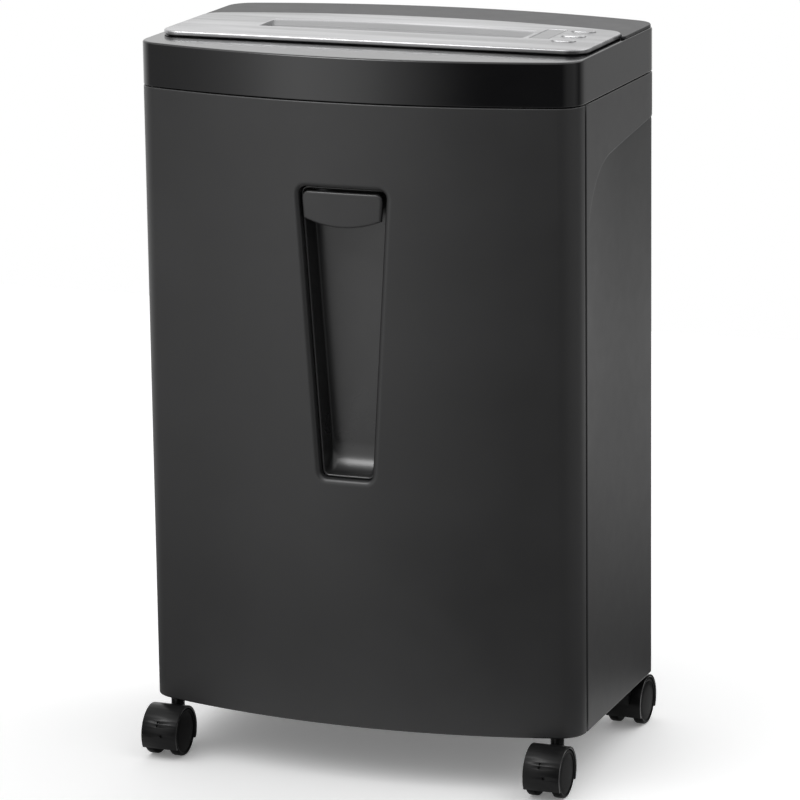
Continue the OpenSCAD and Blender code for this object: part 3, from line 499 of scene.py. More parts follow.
def plastic(name, colour, roughness, grain=1800, depth=0.00004, shade=0.12, polish=0.1, **uniform):
    """Moulded plastic: fine spark-erosion grain, faint clouds, rubbed edges brighter, and painted shade in
    the side's recess, which is darker and rougher there.
    """
    f = Finish(name, IOR=1.5, **uniform)
    cloud = f.noise(9, 3)
    fine = f.noise(grain, 2)
    rub_and_glint = f.mark()
    painted_recess_shade = f.mark("painted_recess_shade")
    # The recess mark pulls the colour towards the darker tone: painted shade
    clouds = (cloud - 0.3) * 2.2 - painted_recess_shade * 0.5
    base = f.blend(clouds, toned(colour, 1 - shade), toned(colour, 1 + shade, 0.001))
    uneven = (cloud - 0.5) * 0.12 + (f.noise(70, 3) - 0.5) * 0.06
    f.vary(Base_Color=f.blend(rub_and_glint * 0.6, base, toned(colour, 1.35, 0.002)),
           Roughness=(roughness + uneven + painted_recess_shade * 0.16 - rub_and_glint * polish).clamp())
    f.bump(fine, 0.35, depth)
    return f


def metal(name, colour, roughness, stretch=(1, 1, 1), grain=400, depth=0.00002):
    """Bare or plated metal: drawn grain, tool marks and faint staining."""
    f = Finish(name, Metallic=1.0)
    grainy = f.noise(grain, 3, stretch)
    cloud = f.noise(25, 4)
    f.vary(Base_Color=f.blend((cloud - 0.3) * 2, toned(colour, 0.85), colour),
           Roughness=(roughness + (grainy - 0.5) * 0.22 + (cloud - 0.5) * 0.12).clamp())
    f.bump(grainy, 0.3, depth)
    return f


def board_green():
    """Lacquered circuit board: copper tracks show lighter through the lacquer, with solder points."""
    f = Finish("board_lacquer", IOR=1.5)
    track = ((f.cells(420) - 0.35) * 6).clamp()
    solder = ((0.16 - f.cells(600)) * 30).clamp()
    base = f.blend(track, (0.012, 0.07, 0.03), (0.02, 0.12, 0.05))
    f.vary(Base_Color=f.blend(solder, base, (0.55, 0.55, 0.56)),
           Roughness=(0.3 + (f.noise(200) - 0.5) * 0.2).clamp())
    f.bump(track, 0.3, 0.00003)
    return f


def gloss_lacquer():
    """Polished black: nearly a mirror, with cloth wipes and a few hairlines."""
    f = Finish("band_gloss", IOR=1.5)
    wipe = f.noise(14, 4, (1, 1, 3))
    hair = f.noise(900, 2, (1, 1, 12))
    rub_and_glint = f.mark()
    f.vary(Base_Color=f.blend(wipe, (0.0035, 0.0035, 0.004), (0.006, 0.006, 0.0065)),
           Roughness=(0.1 + (wipe - 0.4) * 0.08 + (hair - 0.5) * 0.03 + rub_and_glint * 0.05).clamp())
    f.bump(f.noise(60, 1), 0.03, 0.0001)
    return f


def satin_silver(name, colour, roughness):
    """Silver lacquer over plastic: fine flake, soft drawn grain, broad streaks from side to side, painted
    edge highlights.
    """
    f = Finish(name, Metallic=0.85)
    flake = f.noise(5200, 1)
    drawn = f.noise(900, 2, (0.04, 1, 1))
    streak = f.noise(60, 2, (0.09, 1, 1))
    cloud = f.noise(16, 1, (0.35, 1, 1))
    rub_and_glint = f.mark()
    broad = ((streak + cloud * 0.8 - 0.9) * 2.8 + 0.45).clamp()
    base = f.blend(broad, toned(colour, 0.7), toned(colour, 1.34))
    uneven = (drawn - 0.5) * 0.16 + (streak - 0.5) * 0.12 + (flake - 0.5) * 0.1
    # The edge mark lightens the colour towards pale silver: a painted highlight on edges and crests
    f.vary(Base_Color=f.blend((flake - 0.5) * 0.3 + rub_and_glint * 0.15, base, (0.7, 0.7, 0.71)),
           Roughness=(roughness + uneven - rub_and_glint * 0.04).clamp())
    f.bump(drawn * 0.6 + flake * 0.4, 0.25, 0.00001)
    return f


CASTERS = [(end, side) for end in ("front", "rear") for side in ("left", "right")]
BUTTONS = [("power_button", -1), ("forward_button", 0), ("reverse_button", 1)]

# Two finishes that other pieces need too
zinc = metal("zinc_plate", (0.66, 0.67, 0.69), 0.3, grain=700)
# The funnel's grey is darker than the silver: painted shade on the funnel's slope
funnel_grey = plastic("funnel_grey", (0.31, 0.31, 0.314), 0.38, grain=2600, depth=0.00002)

# Each finish, the record's slot that it fills, and the nodes that have it
FINISHES = [
    (plastic("shell_black", (0.02, 0.02, 0.0205), 0.42), "body_black", ["cabinet_shell"]),
    (plastic("front_black", (0.02, 0.02, 0.0205), 0.44), "panel_black", ["front_panel", "grip"]),
    (gloss_lacquer(), "gloss_black", ["head_band"]),
    (satin_silver("plate_silver", (0.32, 0.32, 0.325), 0.32), "silver",
     ["silver_panel"] + [node for node, _ in BUTTONS]),
    (funnel_grey, "funnel_silver", ["throat_guide"]),
    (plastic("cover_grey", (0.019, 0.019, 0.02), 0.46, Specular_IOR_Level=0.26), "dark_grey",
     ["rear_top_cover"]),
    (plastic("lens_smoke", (0.03, 0.032, 0.035), 0.1, grain=300, depth=0.000002, polish=0.03), "window",
     ["indicator_window"]),
    (plastic("cup_black", (0.019, 0.019, 0.0195), 0.29, grain=2400, depth=0.00001, Specular_IOR_Level=0.5),
     "cup_black", ["handle_cup"]),
    (plastic("tub_black", (0.022, 0.022, 0.023), 0.42, grain=1200), "tub", ["bin_tub"]),
    (plastic("inner_black", (0.02, 0.02, 0.021), 0.55, grain=900), "inner_black",
     ["base_plate", "head_tray", "stripper_combs", "cable_gland", "interlock_tab"]),
    (plastic("switch_black", (0.012, 0.012, 0.012), 0.4), "inner_black",
     ["interlock_switch", "paper_sensor"]),
    (plastic("hood_black", (0.005, 0.005, 0.0052), 0.3, grain=1500, Specular_IOR_Level=0.16), "caster_black",
     [f"caster_hood_{end}_{side}" for end, side in CASTERS]),
    (plastic("tread_black", (0.006, 0.006, 0.0062), 0.4, grain=1500, Specular_IOR_Level=0.02), "wheel_black",
     [node for node in frame["nodes"] if node.startswith("wheel_")]),
    (zinc, "steel_zinc",
     ["caster_stems", "tie_rods", "gear_axles", "mechanism_screws", "head_screws", "bin_screws"]),
    (metal("rolled_steel", (0.56, 0.57, 0.59), 0.36, (1, 0.06, 1)), "steel_plate",
     ["bin_runners", "side_plate_left", "side_plate_right", "gearbox_plate"]),
    (metal("cutter_steel", (0.50, 0.505, 0.52), 0.24, (12, 1, 1), 300), "steel_cutter",
     ["front_cutter", "rear_cutter"]),
    (metal("gear_steel", (0.46, 0.465, 0.48), 0.3, (1, 1, 1), 900), "steel_gear",
     ["front_cutter_gear", "rear_cutter_gear", "drive_gear"]),
    (plastic("gear_nylon", (0.62, 0.60, 0.53), 0.38, grain=700, shade=0.05), "nylon",
     ["first_stage_gear", "second_stage_gear"]),
    (metal("sintered_bronze", (0.60, 0.42, 0.22), 0.42, grain=2200, depth=0.00004), "bronze",
     ["cutter_bushes", "motor_pinion"]),
    (board_green(), "board", ["control_board", "main_board"]),
    (metal("motor_can", (0.40, 0.41, 0.43), 0.33, (0.08, 1, 1)), "motor_can", ["motor_housing"]),
    (metal("ferrite", (0.06, 0.06, 0.065), 0.55, grain=1500), "magnet", ["motor_magnets"]),
    (metal("copper_winding", (0.62, 0.24, 0.11), 0.32, (0.05, 1, 1), 1600, 0.00006), "copper",
     ["motor_armature"]),
    (plastic("plunger_red", (0.42, 0.02, 0.015), 0.35), "red", ["interlock_plunger"]),
]
SLOT_OF, FINISH_OF = {}, {}
for finish, slot, members in FINISHES:
    for node in members:
        SLOT_OF[node], FINISH_OF[node] = slot, finish
        mesh = frame["nodes"][node].data
        if not mesh.materials:
            mesh.materials.append(None)
        for i in range(len(mesh.materials)):
            mesh.materials[i] = finish.material
BODY_OF = {node: o["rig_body"] for node, o in frame["nodes"].items()}


def stands_for(piece, node, finished=False):
    """The piece takes a CAD node's place and body and, unless it is finished already, its finish."""
    if not finished:
        piece.data.materials.clear()
        piece.data.materials.append(FINISH_OF[node].material)
    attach(piece, BODY_OF[node])
    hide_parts(node)


# ---- the bin's front
def rectangle(us, vs):
    """Outline of a flat rectangle through the grid's own stations."""
    return ([(u, vs[0]) for u in us[:-1]] + [(us[-1], v) for v in vs[:-1]]
            + [(u, vs[-1]) for u in us[:0:-1]] + [(us[0], v) for v in vs[:0:-1]])


def bow_at(x):
    """How far the bow has fallen back behind its crown, x to the side."""
    return BOW_R - math.sqrt(BOW_R ** 2 - x * x)


def taper_at(z, q):
    """Half the handle opening's width at height z, less q off its slanting side."""
    return HANDLE_LOW_W / 2 + (z - HANDLE_LOW) * math.tan(HANDLE_TILT) - q / math.cos(HANDLE_TILT)


def handle_outline(grow, r=None, lift=0):
    """Tapered outline of the handle opening, grown all round; lift raises its lower end."""
    r = HANDLE_R + grow if r is None else r
    q, deg = r - grow, math.degrees(HANDLE_TILT)
    top, low = HANDLE_TOP - q, HANDLE_LOW + q + lift
    foot = arc(taper_at(low, q), low, r, 270, 360 - deg, 8)
    crest = arc(taper_at(top, q), top, r, -deg, 90, 8)
    half = foot + between(foot[-1], crest[0], 26) + crest
    other = mirrored(half)
    return half + between(crest[-1], other[0], 8) + other + between(other[-1], foot[0], 6)


def rolled_lip(out, end, drop, depth, steps=8):
    """Rings of the opening's edge: the face rolls in over a quarter of an ellipse, runs down to depth as a
    thin skirt, and comes back up behind it to the wall's inner face."""
    rings = [(out + 1, 0, 0), (out, 0, 0.1)]
    for i in range(1, steps + 1):
        a = math.pi / 2 * i / steps
        shift = end + (out - end) * (1 - math.sin(a))
        rings.append((shift, drop * (1 - math.cos(a)), 0.5 * math.sin(2 * a)))
    rings += [(end, depth - 0.4, 0), (end + 0.15, depth, 0), (end + 1.2, depth, 0)]
    return rings + [(end + 1.4, depth - 0.4, 0), (1.2, WALL + 0.6, 0), (1.8, WALL, 0)]


GRID = 10  # spacing of the points inside a wall
FRONT_END = SIDE_START + SEAM - SEAM_SHADOW - CORNER_Y
front_us, front_vs = run_stations(FRONT_END, GRID), stations(SKIRT, PANEL_TOP, GRID)
bin_front = panel("bin_front", [(rectangle(front_us, front_vs), rounded(1.0, WALL)),
                                (handle_outline(0)[::-1], rolled_lip(2.6, -1.7, 3, 8))],
                  on_front, front_us, front_vs)


def join(*pieces):
    """One object from several, kept under the first one's name."""
    work = bmesh.new()
    for piece in pieces:
        work.from_mesh(piece.data)
    work.to_mesh(pieces[0].data)
    work.free()
    for piece in pieces[1:]:
        bpy.data.objects.remove(piece)
    return pieces[0]


# The tub's rim stands out by TUB_RIM at the sides, and by 1 less in front and behind
tub_low, tub_high = (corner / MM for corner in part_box("bin_tub"))
TUB_RIM, TUB_H = 4, tub_high.z - tub_low.z
TUB_FRONT, TUB_HALF = tub_low.y - CROWN + TUB_RIM - 1, tub_high.x - TUB_RIM

# Two shelves and eight screw bosses fill the space between the bowed panel and the tub's front wall
SHELF_T, BOSS_R, BOSS_X = 2.2, 5, TUB_HALF - 28
SHELVES, BOSSES = (PANEL_TOP - 10, tub_low.z + 2), (tub_low.z + 35, tub_high.z - 27)
arch = [p for p in (bowed(s, WALL / 2) for s in stations(-FRONT_END, FRONT_END, 6)) if p[1] < TUB_FRONT]
plan = [(arch[0][0], TUB_FRONT), *arch, (arch[-1][0], TUB_FRONT)]
inside_panel = [bin_front]
for low in SHELVES:
    inside_panel.append(loft("shelf", [[(x, CROWN + y, z) for x, y in plan] for z in (low, low + SHELF_T)]))
for x in (-BOSS_X, -BOSS_X / 2, BOSS_X / 2, BOSS_X):
    for z in BOSSES:
        ends = (CROWN + bow_at(x) + WALL / 2 + 0.5, CROWN + TUB_FRONT - 0.05)
        inside_panel.append(rod("boss", x, z, BOSS_R, ends))
stands_for(join(*inside_panel), "front_panel")


# ---- recess and grip
def cup_ring(grow, r, lift, depth, follow):
    return [(x, CROWN + depth + follow * bow_at(x), z) for x, z in handle_outline(grow, r, lift)]


# Rows from the cup's back, round its flange and rim, and down its inside: how far the handle's outline is
# grown, its corner round, how far its lower end is lifted, the depth, how much of the bow it follows, wear
CUP = [(-3.2, 4.8, 0, 28.7, 0, 0), (-2.9, 5.1, 0, 20, 0, 0), (-2.5, 5.5, 0, 10.5, 0.5, 0),
       (7.8, 13, 0, 10.2, 1, 0), (7.8, 13, 0, 8.8, 1, 0), (-2.2, 5.8, 0, 8.7, 1, 0),
       (-2.2, 5.8, 0, 7.6, 1, 0.3), (-2.3, 5.7, 0, 7.2, 1, 0.9), (-2.6, 5.4, 0, 6.95, 1, 1),
       (-3.3, 4.7, 0, 6.95, 1, 1), (-3.75, 4.3, 0, 7.2, 1, 0.9), (-3.9, 4.1, 0, 7.7, 1, 0.3),
       (-3.95, 4.05, 0.2, 9, 0.9, 0)]
# Inside, the lower end sweeps into the floor in one large round; the sides meet it in a small one
CUP_DEPTH, SWEEP_R, SWEEP_FROM, MEET_R = 27, 24, 30, 1.5
for turn in range(SWEEP_FROM, 91, 4):
    a = math.radians(turn)
    depth = CUP_DEPTH - SWEEP_R * (1 - math.sin(a))
    near = max(0, depth - CUP_DEPTH + MEET_R)
    inward = MEET_R - math.sqrt(MEET_R ** 2 - near ** 2)
    lift = 0.3 + SWEEP_R * (math.cos(math.radians(SWEEP_FROM)) - math.cos(a))
    follow = max(0, 1 - (depth - 8) / 11)
    CUP.append((-4 - 0.25 * math.sin(a) - inward, 4 + turn / 25, lift, depth, follow, 0))
stands_for(worn_loft("finger_recess", cup_ring, CUP), "handle_cup")


def grip_outline(t):
    """Grip in the flat: the opening's upper end less a gap, and a shallow arc below, moved inwards by t."""
    r = GRIP_CORNER - t
    q = r + GRIP_GAP + t
    top = HANDLE_TOP - q
    crest = arc(taper_at(top, q), top, r, -math.degrees(HANDLE_TILT), 90, 10)
    foot_x = taper_at(GRIP_LOW + GRIP_FOOT, q) + r
    low_xs = [foot_x * math.sin(math.pi / 2 * i / 14) for i in range(15)]
    half = [(x, GRIP_LOW + GRIP_R - math.sqrt((GRIP_R - t) ** 2 - x * x)) for x in low_xs] + crest
    other = mirrored(half)
    return half + between(half[-1], other[0], 8) + other[:-1]


def grip_ring(t, depth):
    return [(x, CROWN + bow_at(x) + depth, z) for x, z in grip_outline(t)]


# Rows from the grip's face over its rounded edge to its back: how far moved in, the depth, wear
GRIP = [(2.2, 0.6, 0), (1.4, 0.62, 0.2), (0.8, 0.78, 1), (0.35, 1.1, 1), (0.08, 1.6, 0.6), (0, 2.2, 0.2),
        (0, 3.9, 0), (0.3, 4.4, 0.4), (0.8, 4.6, 0), (1.6, 4.6, 0)]
grip = worn_loft("grip_skin", grip_ring, GRIP)


def bar(name, xs, ys, zs):
    """A hidden straight bar, from its two ends on each axis."""
    points = [(x, y, z) for x in sorted(xs) for y in ys for z in zs]
    faces = [(0, 1, 3, 2), (4, 6, 7, 5), (0, 4, 5, 1), (2, 3, 7, 6), (0, 2, 6, 4), (1, 5, 7, 3)]
    return build(name, points, faces)


legs = [bar("grip_leg", (22 * side, 25 * side), (CROWN + 5, CROWN + 27), (GRIP_TOP - 16, GRIP_TOP - 6))
        for side in (-1, 1)]
stands_for(join(grip, *legs), "grip")


# ---- cabinet
RECESS_MID = (RECESS_Y + RECESS_R, BAND_LOW - RECESS_DROP - RECESS_R)


def into_recess(q, z):
    """Share of the recess's depth at a point of the side, q behind the crown: 0 outside, 1 inside its rim."""
    cq, cz = RECESS_MID
    crest_q, crest_z = cq - RECESS_R * math.sin(RECESS_RISE), cz + RECESS_R * math.cos(RECESS_RISE)
    upper = (crest_z + (q - crest_q) * math.tan(RECESS_RISE) - z) * math.cos(RECESS_RISE)
    within = min(upper, q - RECESS_Y)
    if q < crest_q and z > cz:
        within = RECESS_R - math.dist((q, z), RECESS_MID)
    return min(1, max(0, within / RECESS_RIM))


def recess_line(t, end):
    """A line that keeps t inside the recess's edge: up its front, round the bend and along its top."""
    cq, cz = RECESS_MID
    upright = along((RECESS_Y + t, SKIRT + 3.4), (RECESS_Y + t, cz), 9)
    bend = arc(cq, cz, RECESS_R - t, 180, 90 + math.degrees(RECESS_RISE), 18)
    last = bend[-1]
    far = (end, last[1] + (end - last[0]) * math.tan(RECESS_RISE))
    return upright + bend[:-1] + along(last, far, 6) + [far]


def on_cabinet(s, z, depth):
    """The cabinet's walls, from the rear crown round both sides to the seam, with the recess let in."""
    x, y = bowed(s, depth)
    x0, _ = bowed(s, 0)
    y = DEPTH - y
    q = y if abs(s) > SIDE_START else SIDE_END - abs(s)
    face = HALF_W - math.tan(RECESS_ANGLE) * max(0, y - RECESS_Y)
    push = max(0, abs(x0) - face) * into_recess(q, z)
    return x - math.copysign(push, x), CROWN + y, z


# The rear wall's stations run from its crown: the front crown's depth lies at SIDE_END
SIDE_END = SIDE_START + DEPTH - CORNER_Y
REAR_END = SIDE_END - SEAM
rear_us, rear_vs = run_stations(REAR_END, GRID), stations(SKIRT, BAND_LOW - TOP_SHADOW, GRID)
folds = []
for t in (-0.5, 0, RECESS_RIM / 2, RECESS_RIM, RECESS_RIM + 0.5):
    for side in (1, -1):
        folds.append([(side * (SIDE_END - q), z) for q, z in recess_line(t, DEPTH - CORNER_Y + 14)])
VENT_W, VENT_LOW, VENT_TOP, VENT_PITCH, VENT_RUN = 4, BAND_LOW - 62, BAND_LOW - 18, 12, 66
vents = [round_rect(x - VENT_W / 2, x + VENT_W / 2, VENT_LOW, VENT_TOP, 1.9, 4)
         for x in range(-VENT_RUN, VENT_RUN + 1, VENT_PITCH)]
cabinet_edges = [(rectangle(rear_us, rear_vs), rounded(0.9, WALL))]
cabinet_edges += [(hole(vent), rounded(0.5, WALL, 3)) for vent in vents]
cabinet = panel("cabinet_walls", cabinet_edges, on_cabinet, rear_us, rear_vs, folds, 2.6)
jambs = [bar("jamb", (side * (HALF_W - WALL - 8), side * (HALF_W - WALL / 2)),
             (CROWN + SEAM, CROWN + SEAM + WALL), (SKIRT + 1, BAND_LOW - 1)) for side in (1, -1)]
stands_for(join(cabinet, *jambs), "cabinet_shell")

# Painted shade in the side's recess: darkest at its top, towards the rear, fading downwards; it makes the
# finish rougher there too
SHADE_RUN, SHADE_FALL, SHADE_LEAST = 90, 130, 0.15
painted_recess_shade = []
for v in cabinet.data.vertices:
    x, y, z = v.co / MM
    q = y - CROWN
    on_side = abs(x) > HALF_W - 6 and q > RECESS_Y
    fall = math.exp(-max(0, BAND_LOW - RECESS_DROP - z) / SHADE_FALL)
    shading = SHADE_LEAST + (1 - SHADE_LEAST) * min(1, (q - RECESS_Y) / SHADE_RUN) * fall
    painted_recess_shade.append(into_recess(q, z) * shading if on_side else 0)
marked(cabinet.data, "painted_recess_shade", painted_recess_shade)


# ---- the head
def body_outline():
    """The whole plan outline, anticlockwise: the front half, then the same turned half round."""
    middle = SIDE_START + DEPTH / 2 - CORNER_Y
    half = [bowed(s, 0) for s in run_stations(middle, 6)[:-1]]
    return half + [(-x, DEPTH - y) for x, y in half]


def plate_outline(t):
    """The silver panel in plan, moved inwards by t: straight in front, bowed behind."""
    w = HALF_W - PLATE_INSET
    rx, arc_y = w - PLATE_REAR_R, PLATE_END - BOW_R
    ry = arc_y + math.sqrt((BOW_R - PLATE_REAR_R) ** 2 - rx * rx)
    a = math.degrees(math.asin(rx / (BOW_R - PLATE_REAR_R)))
    fx, fy = w - PLATE_R, PLATE_Y + PLATE_R
    half = arc(fx, fy, PLATE_R - t, 270, 360, 9) + arc(rx, ry, PLATE_REAR_R - t, 0, 90 - a, 9)[:-1]
    return half + arc(0, arc_y, BOW_R - t, 90 - a, 90 + a, 40) + mirrored(half)


def mouth_outline(t):
    """Mouth of the throat in plan: straight in front, bowed behind, with small corner rounds."""
    half, c = THROAT_W / 2, 2.5
    cy = THROAT_Y + MOUTH_D - MOUTH_R
    a_end = math.degrees(math.acos((half - c) / (MOUTH_R - c)))
    corner_y = cy + (MOUTH_R - c) * math.sin(math.radians(a_end))
    right = arc(half - c, THROAT_Y + c, c - t, 270, 360, 4) + arc(half - c, corner_y, c - t, 0, a_end, 4)[:-1]
    return right + arc(0, cy, MOUTH_R - t, a_end, 180 - a_end, 36) + mirrored(right)


def window(grow, r):
    """The window's outline, grown all round."""
    left, right, front, rear = WINDOW
    return round_rect(left - grow, right + grow, front - grow, rear + grow, r)


def small_edge(radius, depth, steps=2):
    return rounded(radius, depth, steps, 0.2, 0.2)


def key_outline(i, grow):
    """The outline of the button i places behind the middle one, grown all round."""
    return pill(BUTTON_X, BUTTON_Y + i * BUTTON_PITCH, BUTTON_L + 2 * grow, BUTTON_W + 2 * grow)


KEY_GAP = 0.3
keys = [key_outline(i, KEY_GAP) for _, i in BUTTONS]
throat_well = round_rect(-THROAT_W / 2 - 2, THROAT_W / 2 + 2, THROAT_Y - 6, THROAT_Y + MOUTH_D + 6, 1)
deck_us, deck_vs = stations(-HALF_W, HALF_W, 12), stations(0, DEPTH, 12)
band_rings = rounded(1.8, DECK - BAND_LOW, 5, 0.4) + [(WALL, DECK - BAND_LOW, 0), (WALL + 0.01, WALL, 0)]
band_edges = [(body_outline(), band_rings)]
band_edges += [(hole(well), small_edge(0.4, WALL)) for well in [throat_well, window(-1.5, 1)] + keys]
band = panel("head_band_skin", band_edges, on_deck(DECK), deck_us, deck_vs)

# A round hole through the band's rear wall for the cable gland
GLAND_HOLE_R = 7.3
middle = sum(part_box("cable_gland"), Vector()) / 2 / MM
drill = rod("drill", middle.x, middle.z, GLAND_HOLE_R, (CROWN + DEPTH - 12, CROWN + DEPTH + 5))
bore = band.modifiers.new("gland_hole", "BOOLEAN")
bore.object, bore.solver = drill, "EXACT"
baked(band)
band.data.set_sharp_from_angle(angle=math.radians(50))
bpy.data.objects.remove(drill)
stands_for(band, "head_band")

# How far the funnel's rear slope runs for each step down, and how far behind the mouth that dies away
FUNNEL_SLOPE, FADE = 1.825, 14
PLATE_T = PLATE_TOP - DECK


def in_funnel(x, y, depth):
    """The silver panel's walls, with the mouth's rear one leaning back as the funnel's slope does."""
    half = THROAT_W / 2
    rear = THROAT_Y + MOUTH_D - MOUTH_R + math.sqrt(MOUTH_R * MOUTH_R - min(abs(x), half) ** 2)
    share = max(0, 1 - (y - rear) / FADE) if y > rear else max(0, (y - THROAT_Y) / (rear - THROAT_Y))
    share *= min(1, max(0, (half + 3 - abs(x)) / 2.5))
    return x, CROWN + y - FUNNEL_SLOPE * depth * share, PLATE_TOP - depth


mouth = mouth_outline(0)
# The rounds' edge mark paints a highlight along the silver panel's edges
plate_rings = rounded(1.3, PLATE_T - 1, 5, 0.3)[:-2]
plate_rings += [(0.3, PLATE_T - 1, 0), (3, PLATE_T - 1, 0), (3, PLATE_T, 0)]
plate_edges = [(plate_outline(0), plate_rings), (hole(mouth), rounded(1.1, PLATE_T, 5, 0.2)),
               (hole(window(0, 1.2)), small_edge(0.4, PLATE_T))]
plate_edges += [(hole(key), small_edge(0.5, PLATE_T, 3)) for key in keys]
plate = panel("silver_top", plate_edges, in_funnel, deck_us, deck_vs)
stands_for(plate, "silver_panel")

# Below its top edge, the mouth takes the funnel's darker grey plastic: painted shade on its slope
plate.data.materials.append(funnel_grey.material)
low_faces = [f for f in plate.data.polygons if f.center.z < (PLATE_TOP - 0.9) * MM]
centres = np.array([(f.center.x / MM, f.center.y / MM - CROWN) for f in low_faces])
for f, within in zip(low_faces, inside(centres, [mouth])):
    f.material_index = int(within)


def cover_outline():
    """The rear cover in plan: inside the body's edge, and clear of the silver panel."""
    y0 = PLATE_END - 40
    outer = [tuple(p) for p in inset(body_outline(), 1.2) if p[1] > y0]
    outer.sort(key=lambda p: math.atan2(p[1] - y0 + 1, p[0]))
    inner = [p for p in plate_outline(-GAP) if p[1] > y0]
    outer, inner = ([(line[0][0], y0), *line, (line[-1][0], y0)] for line in (outer, inner))
    return outer + inner[::-1]


COVER_T = 2.6
cover_edges = [(cover_outline(), rounded(0.9, COVER_T, 4, 0.2))]
stands_for(panel("rear_cover", cover_edges, on_deck(DECK + COVER_T), deck_us, deck_vs), "rear_top_cover")

lens = panel("lens", [(window(-0.15, 1.1), small_edge(0.6, PLATE_T - 0.2, 3))], on_deck(PLATE_TOP - 0.2),
             stations(*WINDOW[:2], 4), stations(*WINDOW[2:], 4))
stands_for(lens, "indicator_window")

# Rows of a button over its edge to its dished top: how far moved in, below its top, painted crest highlight
KEY_ROWS = [(0, 1.5, 0), (0.1, 0.9, 0.5), (0.5, 0.4, 1), (1.1, 0.12, 1),
            (1.9, 0.02, 0.3), (3, 0.1, 0), (4, 0.2, 0)]
for node, i in BUTTONS:
    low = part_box(node)[0].z / MM
    rows = [(-1.5, low, 0), (-1.5, low + 2.4, 0), (0, low + 2.6, 0)]
    rows += [(t, BUTTON_TOP - drop, worn_and_glinting) for t, drop, worn_and_glinting in KEY_ROWS]
    rings = [[(x, CROWN + y, z) for x, y in key_outline(i, -t)] for t, z, _ in rows]
    stands_for(loft(node + "_cap", rings, [worn_and_glinting for *_, worn_and_glinting in rows]), node)


# ---- bin tub
def tub_ring(grow, height, r):
    """The tub's plan grown all round, but by no more than 3 in front and behind."""
    ends = min(grow, 3)
    half, rear = TUB_HALF + grow, tub_high.y - CROWN - TUB_RIM + 1 + ends
    plan = round_rect(-half, half, TUB_FRONT - ends, rear, r, 6)
    return [(x, CROWN + y, tub_low.z + height) for x, y in plan]


# Rows from under the floor, up the outside, over the rim, down the inside: grown by, height, corner round
TUB = [(-6, 0, 9), (-2, 0.1, 13), (-0.6, 0.6, 14.4), (0, 2, 15), (0, 60, 15), (0, TUB_H - 3.6, 15),
       (0.3, TUB_H - 3.1, 15), (3.7, TUB_H - 3, 19), (4, TUB_H - 2.6, 19), (4, TUB_H - 0.6, 19),
       (3.5, TUB_H, 18.5), (-1.5, TUB_H, 13.5), (-2, TUB_H - 0.5, 13), (-2, 60, 13), (-2, 5, 13),
       (-2.8, 3, 12.2), (-5, 2, 10), (-9, 2, 6)]
stands_for(loft("bin_box", [tub_ring(*row) for row in TUB]), "bin_tub")


# ---- casters
def merged(node):
    """A CAD node's mesh, its loose triangles joined, as a new bmesh."""
    work = bmesh.new()
    work.from_mesh(frame["nodes"][node].data)
    bmesh.ops.remove_doubles(work, verts=work.verts, dist=2e-6)
    return work


def softened(node, name, width, angle=32):
    """A CAD node's shape with the edges sharper than angle broken by a small bevel."""
    mesh = frame["nodes"][node].data.copy()
    work = merged(node)
    bmesh.ops.dissolve_limit(work, angle_limit=math.radians(0.5), verts=work.verts, edges=work.edges)
    for face in work.faces:
        face.smooth = True
    work.to_mesh(mesh)
    work.free()
    piece = placed(name, mesh)
    bevel = piece.modifiers.new("edges", "BEVEL")
    bevel.width, bevel.segments, bevel.limit_method = width * MM, 2, "ANGLE"
    bevel.angle_limit, bevel.harden_normals = math.radians(angle), True
    return baked(piece)


def roller_profile(r, h):
    """Half section of a wheel, radius r, half width h: blind bore, tyre, raised rim, groove, domed disc."""
    bore = 2.55
    back = [(0, h - 1.8, 0), (bore, h - 1.8, 0), (bore, -h, 0.2), (r - 1.6, -h, 0)]
    tyre = [(r - 0.7, 0.15 - h, 0.4), (r - 0.2, 0.6 - h, 0.7), (r, 1.3 - h, 0.5), (r, h - 1.7, 0.5)]
    rim = [(r - 0.15, h - 0.95, 0.8), (r - 0.55, h - 0.35, 1),
           (r - 1.2, h - 0.05, 1), (r - 1.9, h - 0.03, 0.5)]
    groove = [(r - 2.3, h - 0.2, 0.2), (r - 2.7, h - 0.6, 0), (r - 3.1, h - 0.75, 0), (r - 3.5, h - 0.7, 0)]
    disc = [(r - 3.9, h - 0.56, 0.3), (0.6 * r, h - 0.3, 0), (0.4 * r, h - 0.12, 0), (0.2 * r, h - 0.03, 0)]
    return back + tyre + rim + groove + disc + [(0, h, 0)]


for end, side in CASTERS:
    node = f"caster_hood_{end}_{side}"
    stands_for(softened(node, f"caster_fender_{end}_{side}", 0.45), node)
    for pair in ("outer", "inner"):
        node = f"wheel_{end}_{side}_{pair}"
        low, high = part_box(node)
        mid, half = (low + high) / 2 / MM, (high - low) / 2 / MM
        out = 1 if (side == "right") == (pair == "outer") else -1
        wheel = lathe("roller_" + node[6:], roller_profile(half.z, half.x), 72,
                      lambda a, b, h: (mid.x + out * h, mid.y + a, mid.z + b))
        stands_for(wheel, node)


